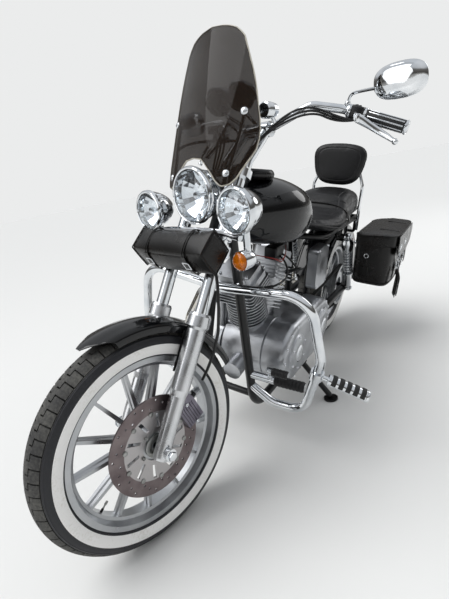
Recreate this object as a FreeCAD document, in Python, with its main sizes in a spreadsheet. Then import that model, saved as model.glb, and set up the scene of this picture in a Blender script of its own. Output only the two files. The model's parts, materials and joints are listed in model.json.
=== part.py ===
import FreeCAD, Part
import math
import os

from FreeCAD import Placement, Rotation, Vector

# A two-up cruiser motorcycle with an air-cooled V-twin, leaning on its side stand, bars turned right.
# Everything is modelled upright and steering straight: +X forward, +Y to the rider's left, +Z up,
# with the origin on the ground below the rear axle. The last section leans and settles it.

os.makedirs("parts", exist_ok=True)
doc = FreeCAD.newDocument("CruiserMotorcycle")

# Driving dimensions: alias, millimetres or degrees, what it is
SIZES = [
    ("wheelbase", 1590, "rear axle to front axle"),
    ("rake", 30, "steering axis back from vertical, degrees"),
    ("fork_offset", 64, "fork legs ahead of the steering axis"),
    ("steer_angle", -16.5, "bars at rest, positive to the left, degrees"),
    ("lean_angle", 12.5, "lean to the left on the stand, degrees"),
    ("running_gap", 1, "between a turning piece and a fixed one"),
    ("seat_gap", 0.3, "between a piece and what it rests on"),
    ("front_tyre_radius", 331, "front tyre, crown"),
    ("front_tyre_width", 100, "front tyre, section"),
    ("front_bead_radius", 243, "front tyre, where it sits on the rim"),
    ("front_rim_width", 68, "front rim, between the flanges"),
    ("rear_tyre_radius", 320, "rear tyre, crown"),
    ("rear_tyre_width", 130, "rear tyre, section"),
    ("rear_bead_radius", 205, "rear tyre, where it sits on the rim"),
    ("rear_rim_width", 84, "rear rim, between the flanges"),
    ("rim_depth", 22, "rim, from the bead seat to its inner face"),
    ("spoke_count", 13, "spokes in each cast wheel"),
    ("spoke_width", 15, "spoke at the hub, across"),
    ("spoke_depth", 34, "spoke at the hub, along the axle"),
    ("hub_radius", 38, "cast hub"),
    ("front_hub_width", 96, "front hub"),
    ("rear_hub_width", 110, "rear hub"),
    ("axle_radius", 10, "both axles"),
    ("bearing_gap", 0.05, "axle in its bearings"),
    ("disc_radius", 146, "front brake disc"),
    ("disc_inner_radius", 104, "front brake disc, inner edge of the swept band"),
    ("disc_thickness", 5, "brake discs"),
    ("disc_offset", 58, "front disc, left of the wheel's middle"),
    ("fork_spread", 91, "each fork leg from the middle"),
    ("caliper_angle", 36, "brake caliper behind the fork leg, seen from the axle, degrees"),
    ("slider_length", 388, "axle to the slider's top"),
    ("slider_radius", 27, "fork slider"),
    ("slider_foot_radius", 23, "fork slider beside the disc"),
    ("collar_radius", 33, "slider's dust collar"),
    ("tube_radius", 19.5, "fork tube"),
    ("lower_yoke_height", 562, "axle to the lower yoke, along the fork"),
    ("upper_yoke_height", 790, "axle to the upper yoke, along the fork"),
    ("yoke_thickness", 24, "both yokes"),
    ("stem_radius", 14, "steering stem"),
    ("head_tube_radius", 33, "steering head tube"),
    ("fender_gap", 22, "front tyre to its fender"),
    ("fender_width", 112, "front fender"),
    ("fender_skirt", 46, "front fender's side below its crown"),
    ("sheet_thickness", 5, "fenders, at the crown"),
    ("headlamp_radius", 83, "headlamp rim"),
    ("headlamp_height", 705, "headlamp face, along the fork"),
    ("headlamp_reach", 76, "headlamp face, ahead of the legs"),
    ("lamp_bar_height", 616, "lamp bar, along the fork"),
    ("lamp_bar_reach", 36, "lamp bar, ahead of the legs"),
    ("passing_lamp_radius", 64, "passing lamp rim"),
    ("passing_lamp_spread", 189, "each passing lamp from the middle"),
    ("indicator_radius", 27, "indicator lens"),
    ("gauge_radius", 43, "each gauge cup"),
    ("gauge_spread", 46, "each gauge from the middle"),
    ("bar_radius", 12.7, "handlebar tube"),
    ("grip_radius", 17.5, "hand grip"),
    ("grip_length", 125, "hand grip"),
    ("bar_bend", 55, "handlebar's inside bends"),
    ("shield_radius", 300, "windshield's curve"),
    ("shield_thickness", 5, "windshield"),
    ("shield_tilt", 22, "windshield back from vertical, degrees"),
    ("fork_bag_length", 322, "tool roll below the headlamp"),
    ("fork_bag_height", 122, "tool roll, corner to corner along the fork"),
    ("fork_bag_depth", 84, "tool roll, corner to corner fore and aft"),
    ("mirror_width", 142, "mirror"),
    ("mirror_height", 90, "mirror"),
    ("frame_tube_radius", 16, "frame loops"),
    ("backbone_radius", 28, "frame backbone"),
    ("frame_bend", 85, "frame loops' bends"),
    ("cradle_spread", 112, "lower frame rails from the middle"),
    ("cradle_height", 190, "lower frame rails above the ground"),
    ("guard_radius", 16, "engine guard tube"),
    ("guard_spread", 352, "engine guard's reach to each side"),
    ("guard_bend", 95, "engine guard's bends"),
    ("crank_forward", 925, "crankshaft ahead of the rear axle"),
    ("crank_height", 350, "crankshaft above the ground"),
    ("cylinder_angle", 22.5, "each cylinder from vertical, degrees"),
    ("case_radius", 118, "crankcase"),
    ("case_width", 184, "crankcase"),
    ("cylinder_radius", 52, "cylinder barrel"),
    ("fin_radius", 76, "cylinder fins"),
    ("fin_count", 8, "fins on each barrel"),
    ("fin_pitch", 14, "barrel fins"),
    ("fin_thickness", 5, "barrel fins"),
    ("deck_height", 152, "crankshaft to the first fin"),
    ("head_height", 62, "cylinder head"),
    ("rocker_height", 56, "rocker box"),
    ("pushrod_radius", 11, "pushrod tube"),
    ("primary_length", 286, "between the primary cover's two centres"),
    ("primary_radius", 122, "primary cover's ends"),
    ("primary_depth", 96, "primary cover, side to side"),
    ("header_radius", 22, "exhaust header"),
    ("muffler_radius", 42, "muffler"),
    ("muffler_length", 620, "muffler"),
    ("air_cleaner_radius", 88, "air cleaner cover"),
    ("swingarm_pivot", 430, "swingarm pivot ahead of the rear axle"),
    ("swingarm_spread", 118, "each swingarm leg from the middle"),
    ("swingarm_height", 40, "swingarm leg"),
    ("shock_spread", 152, "each shock from the middle"),
    ("shock_radius", 27, "shock spring, outside"),
    ("shock_wire", 5, "shock spring's wire, radius"),
    ("shock_turns", 8, "turns of the shock spring"),
    ("pulley_radius", 112, "rear belt pulley"),
    ("front_pulley_radius", 42, "gearbox belt pulley"),
    ("belt_thickness", 6, "drive belt"),
    ("belt_width", 18, "drive belt"),
    ("belt_spread", 80, "drive belt from the middle"),
    ("upright_spread", 48, "frame uprights behind the gearbox, from the middle"),
    ("rear_fender_gap", 26, "rear tyre to its fender"),
    ("rear_fender_width", 166, "rear fender"),
    ("rear_fender_skirt", 60, "rear fender's side below its crown"),
    ("bag_length", 440, "saddlebag"),
    ("bag_width", 196, "saddlebag"),
    ("bag_height", 240, "saddlebag below its lid"),
    ("bag_wall", 8, "saddlebag leather and board"),
    ("bag_inner_side", 190, "saddlebag's inner side from the middle"),
    ("bag_bottom", 432, "saddlebag's bottom above the ground"),
    ("bag_rear", -185, "saddlebag's back end, from the rear axle"),
    ("lid_height", 30, "saddlebag lid"),
    ("flap_drop", 120, "lid's flap down the outer side"),
    ("pad_width", 304, "backrest pad"),
    ("pad_height", 214, "backrest pad"),
    ("pad_depth", 58, "backrest pad"),
    ("sissy_radius", 8, "backrest bar"),
    ("cover_spread", 92, "side covers' inner side from the middle"),
    ("cover_depth", 44, "side covers, side to side"),
    ("stand_radius", 12, "side stand leg"),
    ("stand_foot_radius", 30, "side stand foot"),
    ("stand_foot_thickness", 8, "side stand foot"),
    ("stand_pivot", 722, "side stand pivot ahead of the rear axle"),
    ("stand_reach", 300, "side stand foot from the middle"),
    ("stand_lead", 24, "side stand foot ahead of its pivot, so that the weight keeps it down"),
    ("peg_radius", 19, "foot pegs"),
    ("highway_peg_length", 135, "pegs on the engine guard"),
]
sheet = doc.addObject("Spreadsheet::Sheet", "Sizes")
for row, (alias, value, note) in enumerate(SIZES, 1):
    sheet.set(f"A{row}", alias)
    sheet.set(f"B{row}", str(value))
    sheet.set(f"C{row}", note)
    sheet.setAlias(f"B{row}", alias)
doc.recompute()


def size(alias):
    """A driving dimension, read from the sheet."""
    return float(sheet.get(alias))


SIDES = {"left": 1, "right": -1}
EPS = 1e-6

# Points on the fork: the steering axis leans back, and the legs run parallel ahead of it
rake = math.radians(size("rake"))
UP_FORK = Vector(-math.sin(rake), 0, math.cos(rake))
AHEAD = Vector(math.cos(rake), 0, math.sin(rake))
FRONT_AXLE = Vector(size("wheelbase"), 0, size("front_tyre_radius"))
REAR_AXLE = Vector(0, 0, size("rear_tyre_radius"))
CRANK = Vector(size("crank_forward"), 0, size("crank_height"))
STEER_AXIS_POINT = FRONT_AXLE - AHEAD * size("fork_offset")


def on_fork(up, ahead=0, left=0):
    """A point up the fork legs from the front axle, ahead of them, and to the left."""
    return FRONT_AXLE + UP_FORK * up + AHEAD * ahead + Vector(0, left, 0)


def from_axle(forward, left, up):
    """A point measured level from the front axle, with the steering straight."""
    return FRONT_AXLE + Vector(forward, left, up)


def facing(origin, normal, across=Vector(0, 1, 0)):
    """A placement whose local Z is the normal and whose local X is as near to across as it can be."""
    return Placement(origin, Rotation(across, Vector(0, 0, 0), normal, "ZXY"))


# Ways of making a piece
def bind(target, **bindings):
    """Tie properties of an object to expressions on the sheet."""
    for prop, expression in bindings.items():
        target.setExpression(prop, expression)
    return target


def origin_feature(body, role):
    return next(f for f in body.Origin.OriginFeatures if f.Role == role)


def outline_sketch(body, name, plane, loops, offset=0):
    """A sketch of closed loops; a loop is a list of points, or (centre, radius) for a circle.
    A point of three values bulges the edge that ends there through a mid point: (x, y, (mx, my))."""
    sketch = body.newObject("Sketcher::SketchObject", name)
    sketch.AttachmentSupport = [(origin_feature(body, plane), "")]
    sketch.MapMode = "FlatFace"
    sketch.AttachmentOffset = Placement(Vector(0, 0, offset), Rotation())
    for loop in loops:
        if isinstance(loop, tuple):
            (cx, cy), radius = loop
            sketch.addGeometry(Part.Circle(Vector(cx, cy, 0), Vector(0, 0, 1), radius), False)
            continue
        for start, end in zip(loop[-1:] + loop[:-1], loop):
            first = Vector(start[0], start[1], 0)
            last = Vector(end[0], end[1], 0)
            if len(end) == 3:
                edge = Part.Arc(first, Vector(end[2][0], end[2][1], 0), last)
            else:
                edge = Part.LineSegment(first, last)
            sketch.addGeometry(edge, False)
    return sketch


def new_body(name, place=None):
    body = doc.addObject("PartDesign::Body", name)
    if place:
        body.Placement = place
    return body


def turned(name, profile, place):
    """A turned piece: the profile's points are (radius, height), turned about the local Z axis."""
    body = new_body(name, place)
    sketch = outline_sketch(body, name + "_profile", "XZ_Plane", [profile])
    turn = body.newObject("PartDesign::Revolution", name + "_turn")
    turn.Profile = sketch
    turn.ReferenceAxis = (sketch, ["V_Axis"])
    turn.Angle = 360
    return body


def plate(name, loops, thickness, place):
    """A flat piece: loops in the local XY plane, padded along local Z by an expression."""
    body = new_body(name, place)
    sketch = outline_sketch(body, name + "_outline", "XY_Plane", loops)
    pad = body.newObject("PartDesign::Pad", name + "_pad")
    pad.Profile = sketch
    bind(pad, Length=thickness)
    return body


def rounded(x0, y0, x1, y1, corner):
    """A rectangle with round corners, as a loop for a sketch."""
    k = corner * (1 - math.sqrt(0.5))
    return [(x0 + corner, y0, (x0 + k, y0 + k)), (x1 - corner, y0), (x1, y0 + corner, (x1 - k, y0 + k)),
            (x1, y1 - corner), (x1 - corner, y1, (x1 - k, y1 - k)), (x0 + corner, y1),
            (x0, y1 - corner, (x0 + k, y1 - k)), (x0, y0 + corner)]


def rod(name, start, end, radius, end_radius=None):
    """A round bar between two points; radius is an expression on the sheet."""
    along = end - start
    kind = "Part::Cone" if end_radius else "Part::Cylinder"
    bar = doc.addObject(kind, name)
    bar.Placement = Placement(start, Rotation(Vector(0, 0, 1), along))
    bar.Height = along.Length
    if end_radius:
        bind(bar, Radius1=radius, Radius2=end_radius)
    else:
        bind(bar, Radius=radius)
    return bar


def bent_path(points, bend):
    """Straight runs joined by tangent arcs; each arc shrinks to fit its runs."""
    edges = []
    start = points[0]
    for here, corner, after in zip(points, points[1:], points[2:]):
        back = (here - corner).normalize()
        ahead = (after - corner).normalize()
        half = back.getAngle(ahead) / 2
        room = 0.48 * min((here - corner).Length, (after - corner).Length)
        cut = min(bend / math.tan(half), room)
        radius = cut * math.tan(half)
        enter = corner + back * cut
        leave = corner + ahead * cut
        middle = (back + ahead).normalize()
        inside = corner + middle * (radius / math.sin(half) - radius)
        if (enter - start).Length > EPS:
            edges.append(Part.LineSegment(start, enter).toShape())
        edges.append(Part.Arc(enter, inside, leave).toShape())
        start = leave
    edges.append(Part.LineSegment(start, points[-1]).toShape())
    return Part.Wire(edges)


def pipe(name, points, radius, bend, closed_ends=True):
    """A bent tube along points, as a sweep of a circle bound to the sheet."""
    spine = doc.addObject("Part::Feature", name + "_path")
    spine.Shape = bent_path(points, bend)
    ring = doc.addObject("Part::Circle", name + "_ring")
    bind(ring, Radius=radius)
    ring.Placement = Placement(points[0], Rotation(Vector(0, 0, 1), points[1] - points[0]))
    sweep = doc.addObject("Part::Sweep", name)
    sweep.Sections = [ring]
    sweep.Spine = (spine, [f"Edge{i + 1}" for i in range(len(spine.Shape.Edges))])
    sweep.Solid = closed_ends
    sweep.Frenet = False
    return sweep


def box(name, corner, extent, place=None):
    """A block from its low corner; extent holds expressions or numbers for length, width and height."""
    block = doc.addObject("Part::Box", name)
    block.Placement = Placement(corner, Rotation())
    if place:
        block.Placement = place.multiply(block.Placement)
    for prop, value in zip(("Length", "Width", "Height"), extent):
        if isinstance(value, str):
            block.setExpression(prop, value)
        else:
            setattr(block, prop, value)
    return block


def shaped(name, shape, place=None):
    """A piece whose form no feature gives, such as a loft of arcs."""
    feature = doc.addObject("Part::Feature", name)
    feature.Shape = shape
    if place:
        feature.Placement = place
    return feature


def fused(name, pieces):
    joined = doc.addObject("Part::MultiFuse", name)
    joined.Shapes = pieces
    joined.Refine = True
    return joined


def cut(name, base, tool):
    result = doc.addObject("Part::Cut", name)
    result.Base = base
    result.Tool = tool
    return result


def softened(name, base, radius, edges):
    """Round the edges of a piece that a test picks."""
    doc.recompute()
    picked = [i + 1 for i, edge in enumerate(base.Shape.Edges) if edges(edge)]
    fillet = doc.addObject("Part::Fillet", name)
    fillet.Base = base
    fillet.Edges = [(i, radius, radius) for i in picked]
    return fillet


NODES = {}


def node(name, pieces, body="frame"):
    """Register a finished sub-part: one object, or several that share a node, on a body."""
    if isinstance(pieces, list) and len(pieces) > 1:
        group = doc.addObject("Part::Compound", name + "_node")
        group.Links = pieces
    else:
        group = pieces[0] if isinstance(pieces, list) else pieces
    group.Label = name
    NODES[name] = (group, body)
    return group


# Wheels, tyres and discs: the local Z axis is the axle, pointing to the left
def wheel_place(axle, left=0):
    return Placement(axle + Vector(0, left, 0), Rotation(Vector(1, 0, 0), -90))


def tyre(name, axle, radius, width, bead_radius, rim_width):
    """A tyre whose crown is one arc of its section's half width."""
    gap = size("seat_gap")
    half = width / 2
    bead = rim_width / 2
    ring = radius - half
    foot_angle = math.radians(32)
    foot = (ring - half * math.sin(foot_angle), half * math.cos(foot_angle))
    flange = bead_radius + FLANGE_HEIGHT + gap
    loop = [(bead_radius, -bead), (bead_radius, bead), (flange, bead), (flange, bead + FLANGE_WIDTH),
            foot, (foot[0], -foot[1], (radius, 0)), (flange, -bead - FLANGE_WIDTH), (flange, -bead)]
    return turned(name, loop, wheel_place(axle))


FLANGE_HEIGHT = 9
FLANGE_WIDTH = 4.5


def cast_wheel(name, axle, bead_radius, rim_width, hub_width, bosses):
    """A cast wheel: hub, slim spokes and a stepped rim. Bosses are (radius, from, to) along the axle."""
    gap = size("seat_gap")
    bore = size("axle_radius") + size("bearing_gap")
    body = new_body(name, wheel_place(axle))
    half = hub_width / 2
    waist = size("hub_radius") - 6
    hub = [(bore, -half), (waist, -half), (size("hub_radius"), -half + 8), (waist, 0),
           (size("hub_radius"), half - 8),
           (waist, half), (bore, half)]
    hub_sketch = outline_sketch(body, name + "_hub_profile", "XZ_Plane", [hub])
    hub_turn = body.newObject("PartDesign::Revolution", name + "_hub")
    hub_turn.Profile = hub_sketch
    hub_turn.ReferenceAxis = (hub_sketch, ["V_Axis"])
    hub_turn.Angle = 360
    seat = bead_radius - gap
    inner = seat - size("rim_depth")
    start = waist - 4
    wide = size("spoke_width") / 2
    deep = size("spoke_depth") / 2
    rib = 3
    section = [(-wide, -deep), (wide, -deep), (wide, -rib), (wide - rib, 0), (wide, rib), (wide, deep),
               (-wide, deep), (-wide, rib), (rib - wide, 0), (-wide, -rib)]
    spoke_sketch = outline_sketch(body, name + "_spoke_section", "YZ_Plane", [section], start)
    spoke = body.newObject("PartDesign::Pad", name + "_spoke")
    spoke.Profile = spoke_sketch
    spoke.Length = inner + 4 - start
    spoke.TaperAngle = -0.9
    doc.recompute()
    spokes = body.newObject("PartDesign::PolarPattern", name + "_spokes")
    spokes.Originals = [spoke]
    spokes.Axis = (origin_feature(body, "Z_Axis"), [""])
    spokes.Angle = 360
    bind(spokes, Occurrences="Sizes.spoke_count")
    body.Tip = spokes
    side = rim_width / 2 + gap
    lip = side + FLANGE_WIDTH
    top = bead_radius + FLANGE_HEIGHT
    well = seat - size("rim_depth") / 2
    rim = [(inner, -side / 2), (inner, side / 2), (inner + 8, side * 0.6), (seat - 6, lip), (top, lip),
           (top, side),
           (seat, side), (seat, side * 0.55), (well, side * 0.4), (well, -side * 0.4), (seat, -side * 0.55),
           (seat, -side), (top, -side), (top, -lip), (seat - 6, -lip), (inner + 8, -side * 0.6)]
    rim_sketch = outline_sketch(body, name + "_rim_profile", "XZ_Plane", [rim])
    rim_turn = body.newObject("PartDesign::Revolution", name + "_rim")
    rim_turn.Profile = rim_sketch
    rim_turn.ReferenceAxis = (rim_sketch, ["V_Axis"])
    rim_turn.Angle = 360
    for i, (radius, low, high) in enumerate(bosses):
        boss_sketch = outline_sketch(body, f"{name}_boss_{i}", "XY_Plane",
                                     [((0, 0), radius), ((0, 0), bore)], low)
        boss = body.newObject("PartDesign::Pad", f"{name}_boss_pad_{i}")
        boss.Profile = boss_sketch
        boss.Length = high - low
    return body


def brake_disc(name, place, radius, inner_radius, bore, slots):
    """A disc whose carrier has a ring of slanted slots."""
    body = new_body(name, place)
    ring = outline_sketch(body, name + "_ring", "XY_Plane", [((0, 0), radius), ((0, 0), bore)])
    pad = body.newObject("PartDesign::Pad", name + "_pad")
    pad.Profile = ring
    bind(pad, Length="Sizes.disc_thickness")
    low = bore + 14
    high = inner_radius - 8
    wide = math.pi * low / slots * 0.45
    loop = [(low, -wide * 0.6), (high, wide * 0.5), (high, wide * 1.9), (low, wide * 0.6)]
    slot_sketch = outline_sketch(body, name + "_slot", "XY_Plane", [loop])
    slot = body.newObject("PartDesign::Pocket", name + "_slot_cut")
    slot.Profile = slot_sketch
    slot.Type = "ThroughAll"
    slot.Midplane = True
    doc.recompute()
    pattern = body.newObject("PartDesign::PolarPattern", name + "_slots")
    pattern.Originals = [slot]
    pattern.Axis = (origin_feature(body, "Z_Axis"), [""])
    pattern.Angle = 360
    pattern.Occurrences = slots
    body.Tip = pattern
    swept = radius - inner_radius
    groups = 12
    turn_step = math.tau / groups
    holes = []
    for share, turn in ((0.25, 0), (0.5, 0.33), (0.75, 0.66)):
        reach = inner_radius + swept * share
        holes.append(((reach * math.cos(turn * turn_step), reach * math.sin(turn * turn_step)), swept / 12))
    hole_sketch = outline_sketch(body, name + "_holes", "XY_Plane", holes)
    drilled = body.newObject("PartDesign::Pocket", name + "_holes_cut")
    drilled.Profile = hole_sketch
    drilled.Type = "ThroughAll"
    drilled.Midplane = True
    doc.recompute()
    drilling = body.newObject("PartDesign::PolarPattern", name + "_drilling")
    drilling.Originals = [drilled]
    drilling.Axis = (origin_feature(body, "Z_Axis"), [""])
    drilling.Angle = 360
    drilling.Occurrences = groups
    body.Tip = drilling
    return body


node("front_tyre", tyre("front_tyre_body", FRONT_AXLE, size("front_tyre_radius"), size("front_tyre_width"),
                        size("front_bead_radius"), size("front_rim_width")), "front_wheel")
DISC_FACE = size("disc_offset") - size("disc_thickness") / 2
node("front_rim", cast_wheel("front_rim_body", FRONT_AXLE, size("front_bead_radius"),
                             size("front_rim_width"),
                             size("front_hub_width"), [(56, 30, DISC_FACE)]), "front_wheel")
node("front_disc", brake_disc("front_disc_body", wheel_place(FRONT_AXLE, DISC_FACE), size("disc_radius"),
                              size("disc_inner_radius"), size("hub_radius") + 4, 10), "front_wheel")

node("rear_tyre", tyre("rear_tyre_body", REAR_AXLE, size("rear_tyre_radius"), size("rear_tyre_width"),
                       size("rear_bead_radius"), size("rear_rim_width")), "rear_wheel")
PULLEY_LIP = 3
PULLEY_FACE = size("belt_spread") - size("belt_width") / 2 - size("running_gap") - PULLEY_LIP
REAR_DISC_FACE = -PULLEY_FACE - size("disc_thickness")
node("rear_rim", cast_wheel("rear_rim_body", REAR_AXLE, size("rear_bead_radius"), size("rear_rim_width"),
                            size("rear_hub_width"),
                            [(60, 30, PULLEY_FACE),
                             (60, REAR_DISC_FACE + size("disc_thickness"), -30)]), "rear_wheel")


def belt_pulley(name, place, radius, bore, width):
    """A flanged pulley with a dished web."""
    lip = radius + 6
    web = width * 0.3
    far = PULLEY_LIP + width
    profile = [(bore, 0), (lip, 0), (lip, PULLEY_LIP), (radius, PULLEY_LIP), (radius, far), (lip, far),
               (lip, far + PULLEY_LIP), (radius - 8, far + PULLEY_LIP), (radius - 8, web), (bore + 30, web),
               (bore + 30, web + 8), (bore, web + 8)]
    return turned(name, profile, place)


pulley = belt_pulley("rear_pulley_body", wheel_place(REAR_AXLE, PULLEY_FACE), size("pulley_radius"),
                     size("hub_radius") + 4, size("belt_width") + 2 * size("running_gap"))
rear_disc = brake_disc("rear_disc_body", wheel_place(REAR_AXLE, REAR_DISC_FACE), size("disc_radius"),
                       size("disc_inner_radius"), size("hub_radius") + 4, 10)
node("rear_pulley", [pulley, rear_disc], "rear_wheel")

# Front end: everything that turns with the bars
fork_tilt = Rotation(Vector(0, 0, 1), UP_FORK)
LEG = {side: Vector(0, sign * size("fork_spread"), 0) for side, sign in SIDES.items()}
slider_top = size("slider_length")
sliders = []
for side, offset in LEG.items():
    r = size("slider_radius")
    collar = size("collar_radius")
    foot = size("slider_foot_radius")
    profile = [(0, -26), (foot - 2, -26), (foot, -18), (foot, size("disc_radius") + 6),
               (r, size("disc_radius") + 24),
               (r, slider_top - 46),
               (collar, slider_top - 38), (collar, slider_top - 8), (collar - 4,
                                                                     slider_top), (0, slider_top)]
    leg = turned(f"slider_{side}", profile, Placement(FRONT_AXLE + offset, fork_tilt))
    hole = rod(f"slider_hole_{side}", FRONT_AXLE + offset * 2, FRONT_AXLE, "Sizes.axle_radius")
    sliders.append(cut(f"slider_leg_{side}", leg, hole))
node("fork_sliders", sliders, "steering")

axle_half = size("fork_spread") + size("slider_radius") + 6
front_axle = rod("front_axle_bar", FRONT_AXLE - Vector(0, axle_half, 0),
                 FRONT_AXLE + Vector(0, axle_half, 0),
                 "Sizes.axle_radius")
nuts = []
for side, sign in SIDES.items():
    nut_start = size("fork_spread") + size("slider_foot_radius") + size("seat_gap")
    inner = FRONT_AXLE + Vector(0, sign * nut_start, 0)
    nuts.append(rod(f"front_axle_nut_{side}", inner, inner + Vector(0, sign * 16, 0),
                    "Sizes.axle_radius * 1.5"))
node("front_axle", fused("front_axle_fused", [front_axle] + nuts), "steering")

# Yokes, the stem between them and the two fork tubes that they clamp
yoke_reach = size("tube_radius") + 13
stem = -size("fork_offset")
lower_yoke = size("lower_yoke_height")
upper_yoke = size("upper_yoke_height")
thick = size("yoke_thickness")
clamped = []
for level, base in (("lower", lower_yoke), ("upper", upper_yoke)):
    spread = size("fork_spread")
    corner = spread + yoke_reach
    outline = [(yoke_reach, -corner + 20), (yoke_reach, -spread + 30),
               (yoke_reach - 14, 0, (yoke_reach - 10, -spread / 2)),
               (yoke_reach, spread - 30, (yoke_reach - 10, spread / 2)), (yoke_reach, corner - 20),
               (-yoke_reach, corner - 20, (0, corner)), (stem - 22, 28), (stem - 22, -28, (stem - 33, 0)),
               (-yoke_reach, -corner + 20), (yoke_reach, -corner + 20, (0, -corner))][:-1]
    outline[0] = (yoke_reach, -corner + 20, (0, -corner))
    clamped.append(plate(f"{level}_yoke", [outline], "Sizes.yoke_thickness",
                         Placement(on_fork(base), Rotation(AHEAD, Vector(0, 1, 0), UP_FORK, "ZXY"))))
clamped.append(rod("steering_stem", on_fork(lower_yoke + thick - 1, stem), on_fork(upper_yoke + 1, stem),
                   "Sizes.stem_radius"))
clamped.append(rod("stem_nut", on_fork(upper_yoke + thick - 1, stem),
                   on_fork(upper_yoke + thick + 12, stem),
                   "Sizes.stem_radius + 4"))
for side, offset in LEG.items():
    clamped.append(rod(f"fork_tube_{side}", on_fork(slider_top) + offset,
                       on_fork(upper_yoke + thick + 10) + offset,
                       "Sizes.tube_radius"))
node("fork_tubes", fused("fork_tubes_fused", clamped), "steering")

# Front fender: a skirted arch round the tyre, with a stay to each slider
arch_radius = size("front_tyre_radius") + size("fender_gap")


def arch(name, axle, inner, width, skirt, start, end):
    """A fender: a U section turned about the axle between two angles above the +X axis."""
    wall = size("sheet_thickness")
    half = width / 2
    crown = inner + wall
    shoulder = 24
    dip = 7
    body = new_body(name, Placement(axle, Rotation(Vector(0, 1, 0), -start)))
    section = [(inner - skirt, -half), (inner - skirt, -half + wall * 0.7),
               (inner - shoulder, -half + wall * 0.7),
               (inner - dip, -half + shoulder, (inner - dip - 4, -half + wall + 6)),
               (inner - dip, half - shoulder, (inner, 0)),
               (inner - shoulder, half - wall * 0.7, (inner - dip - 4, half - wall - 6)),
               (inner - skirt, half - wall * 0.7), (inner - skirt, half), (inner - shoulder, half),
               (crown - dip, half - shoulder + 3, (crown - dip - 4, half - 5)),
               (crown - dip, -half + shoulder - 3, (crown, 0)), (inner - shoulder, -half,
                                                                 (crown - dip - 4, 5 - half))]
    sketch = outline_sketch(body, name + "_section", "XY_Plane", [section])
    turn = body.newObject("PartDesign::Revolution", name + "_turn")
    turn.Profile = sketch
    turn.ReferenceAxis = (sketch, ["V_Axis"])
    turn.Angle = end - start
    turn.Reversed = True
    return body


front_arch = arch("front_fender_arch", FRONT_AXLE, arch_radius, size("fender_width"), size("fender_skirt"),
                  68, 158)
stays = []
for side, sign in SIDES.items():
    mount = on_fork(arch_radius - size("fender_skirt") + 18, 0,
                    sign * (size("fork_spread") - size("slider_radius") - size("seat_gap")))
    reach = size("fork_spread") - size("slider_radius") - size("fender_width") / 2
    stays.append(rod(f"fender_boss_{side}", mount - Vector(0, sign * (reach + 3), 0), mount,
                     "Sizes.collar_radius / 3"))
node("front_fender", fused("front_fender_fused", [front_arch] + stays), "steering")

# Brake caliper on the back of the left slider
caliper_angle = math.radians(size("caliper_angle"))
caliper_out = UP_FORK * math.cos(caliper_angle) - AHEAD * math.sin(caliper_angle)
caliper_side = UP_FORK * math.sin(caliper_angle) + AHEAD * math.cos(caliper_angle)
caliper_place = Placement(FRONT_AXLE + Vector(0, size("disc_offset"), 0),
                          Rotation(caliper_side, Vector(0, 1, 0), caliper_out, "ZXY"))
caliper_low = size("disc_radius") - 46
caliper_block = plate("caliper_block", [rounded(-44, -26, 44, 26, 9)], "Sizes.disc_radius / 2.4",
                      caliper_place.multiply(Placement(Vector(0, 0, caliper_low), Rotation())))
slot_half = size("disc_thickness") / 2 + size("running_gap")
caliper_slot = box("caliper_slot", Vector(-60, -slot_half, caliper_low - 10),
                   (120, 2 * slot_half, size("disc_radius") + 4 - caliper_low + 10), caliper_place)
caliper_arm = box("caliper_arm", Vector(34, 16, size("disc_radius") - 24), (40, 12, 34), caliper_place)
slider_room = rod("caliper_slider_room", on_fork(40, 0, size("fork_spread")),
                  on_fork(260, 0, size("fork_spread")),
                  "Sizes.slider_radius + Sizes.seat_gap")
caliper_solid = fused("caliper_fused", [cut("caliper_cut", caliper_block, caliper_slot), caliper_arm])
node("brake_caliper", cut("caliper_seated", caliper_solid, slider_room), "steering")

# Lamps on a chrome bar across the fork
FORWARD = Rotation(Vector(0, 1, 0), 90)


def lamp(name, face, radius, depth, lens_bulge):
    """A round lamp facing forward: a domed lens, a rolled rim and a bullet shell behind."""
    profile = [(0, -depth), (radius * 0.42, -depth * 0.93), (radius * 0.74, -depth * 0.62),
               (radius * 0.9, -depth * 0.3),
               (radius * 0.94, -14), (radius, -10), (radius, 1), (radius - 5, 5), (radius - 9, 2),
               (radius * 0.6, 2 + lens_bulge * 0.62), (radius * 0.3,
                                                       2 + lens_bulge * 0.9), (0, 2 + lens_bulge)]
    return turned(name, profile, Placement(face, FORWARD))


head_face = on_fork(size("headlamp_height"), size("headlamp_reach"))
lamp_bar_middle = on_fork(size("lamp_bar_height"), size("lamp_bar_reach"))
headlamp = lamp("headlamp_shell", head_face, size("headlamp_radius"), 100, 10)
head_stem = rod("headlamp_stem", lamp_bar_middle + Vector(0, 0,
                                                          size("bar_radius") * 0.75 + size("seat_gap")),
                head_face + Vector(-26, 0, -60), "Sizes.headlamp_radius / 7")
bar_room = rod("lamp_bar_room", lamp_bar_middle - Vector(0, 120, 0), lamp_bar_middle + Vector(0, 120, 0),
               "Sizes.bar_radius * 0.75 + Sizes.seat_gap")
node("headlamp", cut("headlamp_seated", fused("headlamp_fused", [headlamp, head_stem]), bar_room),
     "steering")

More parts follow.
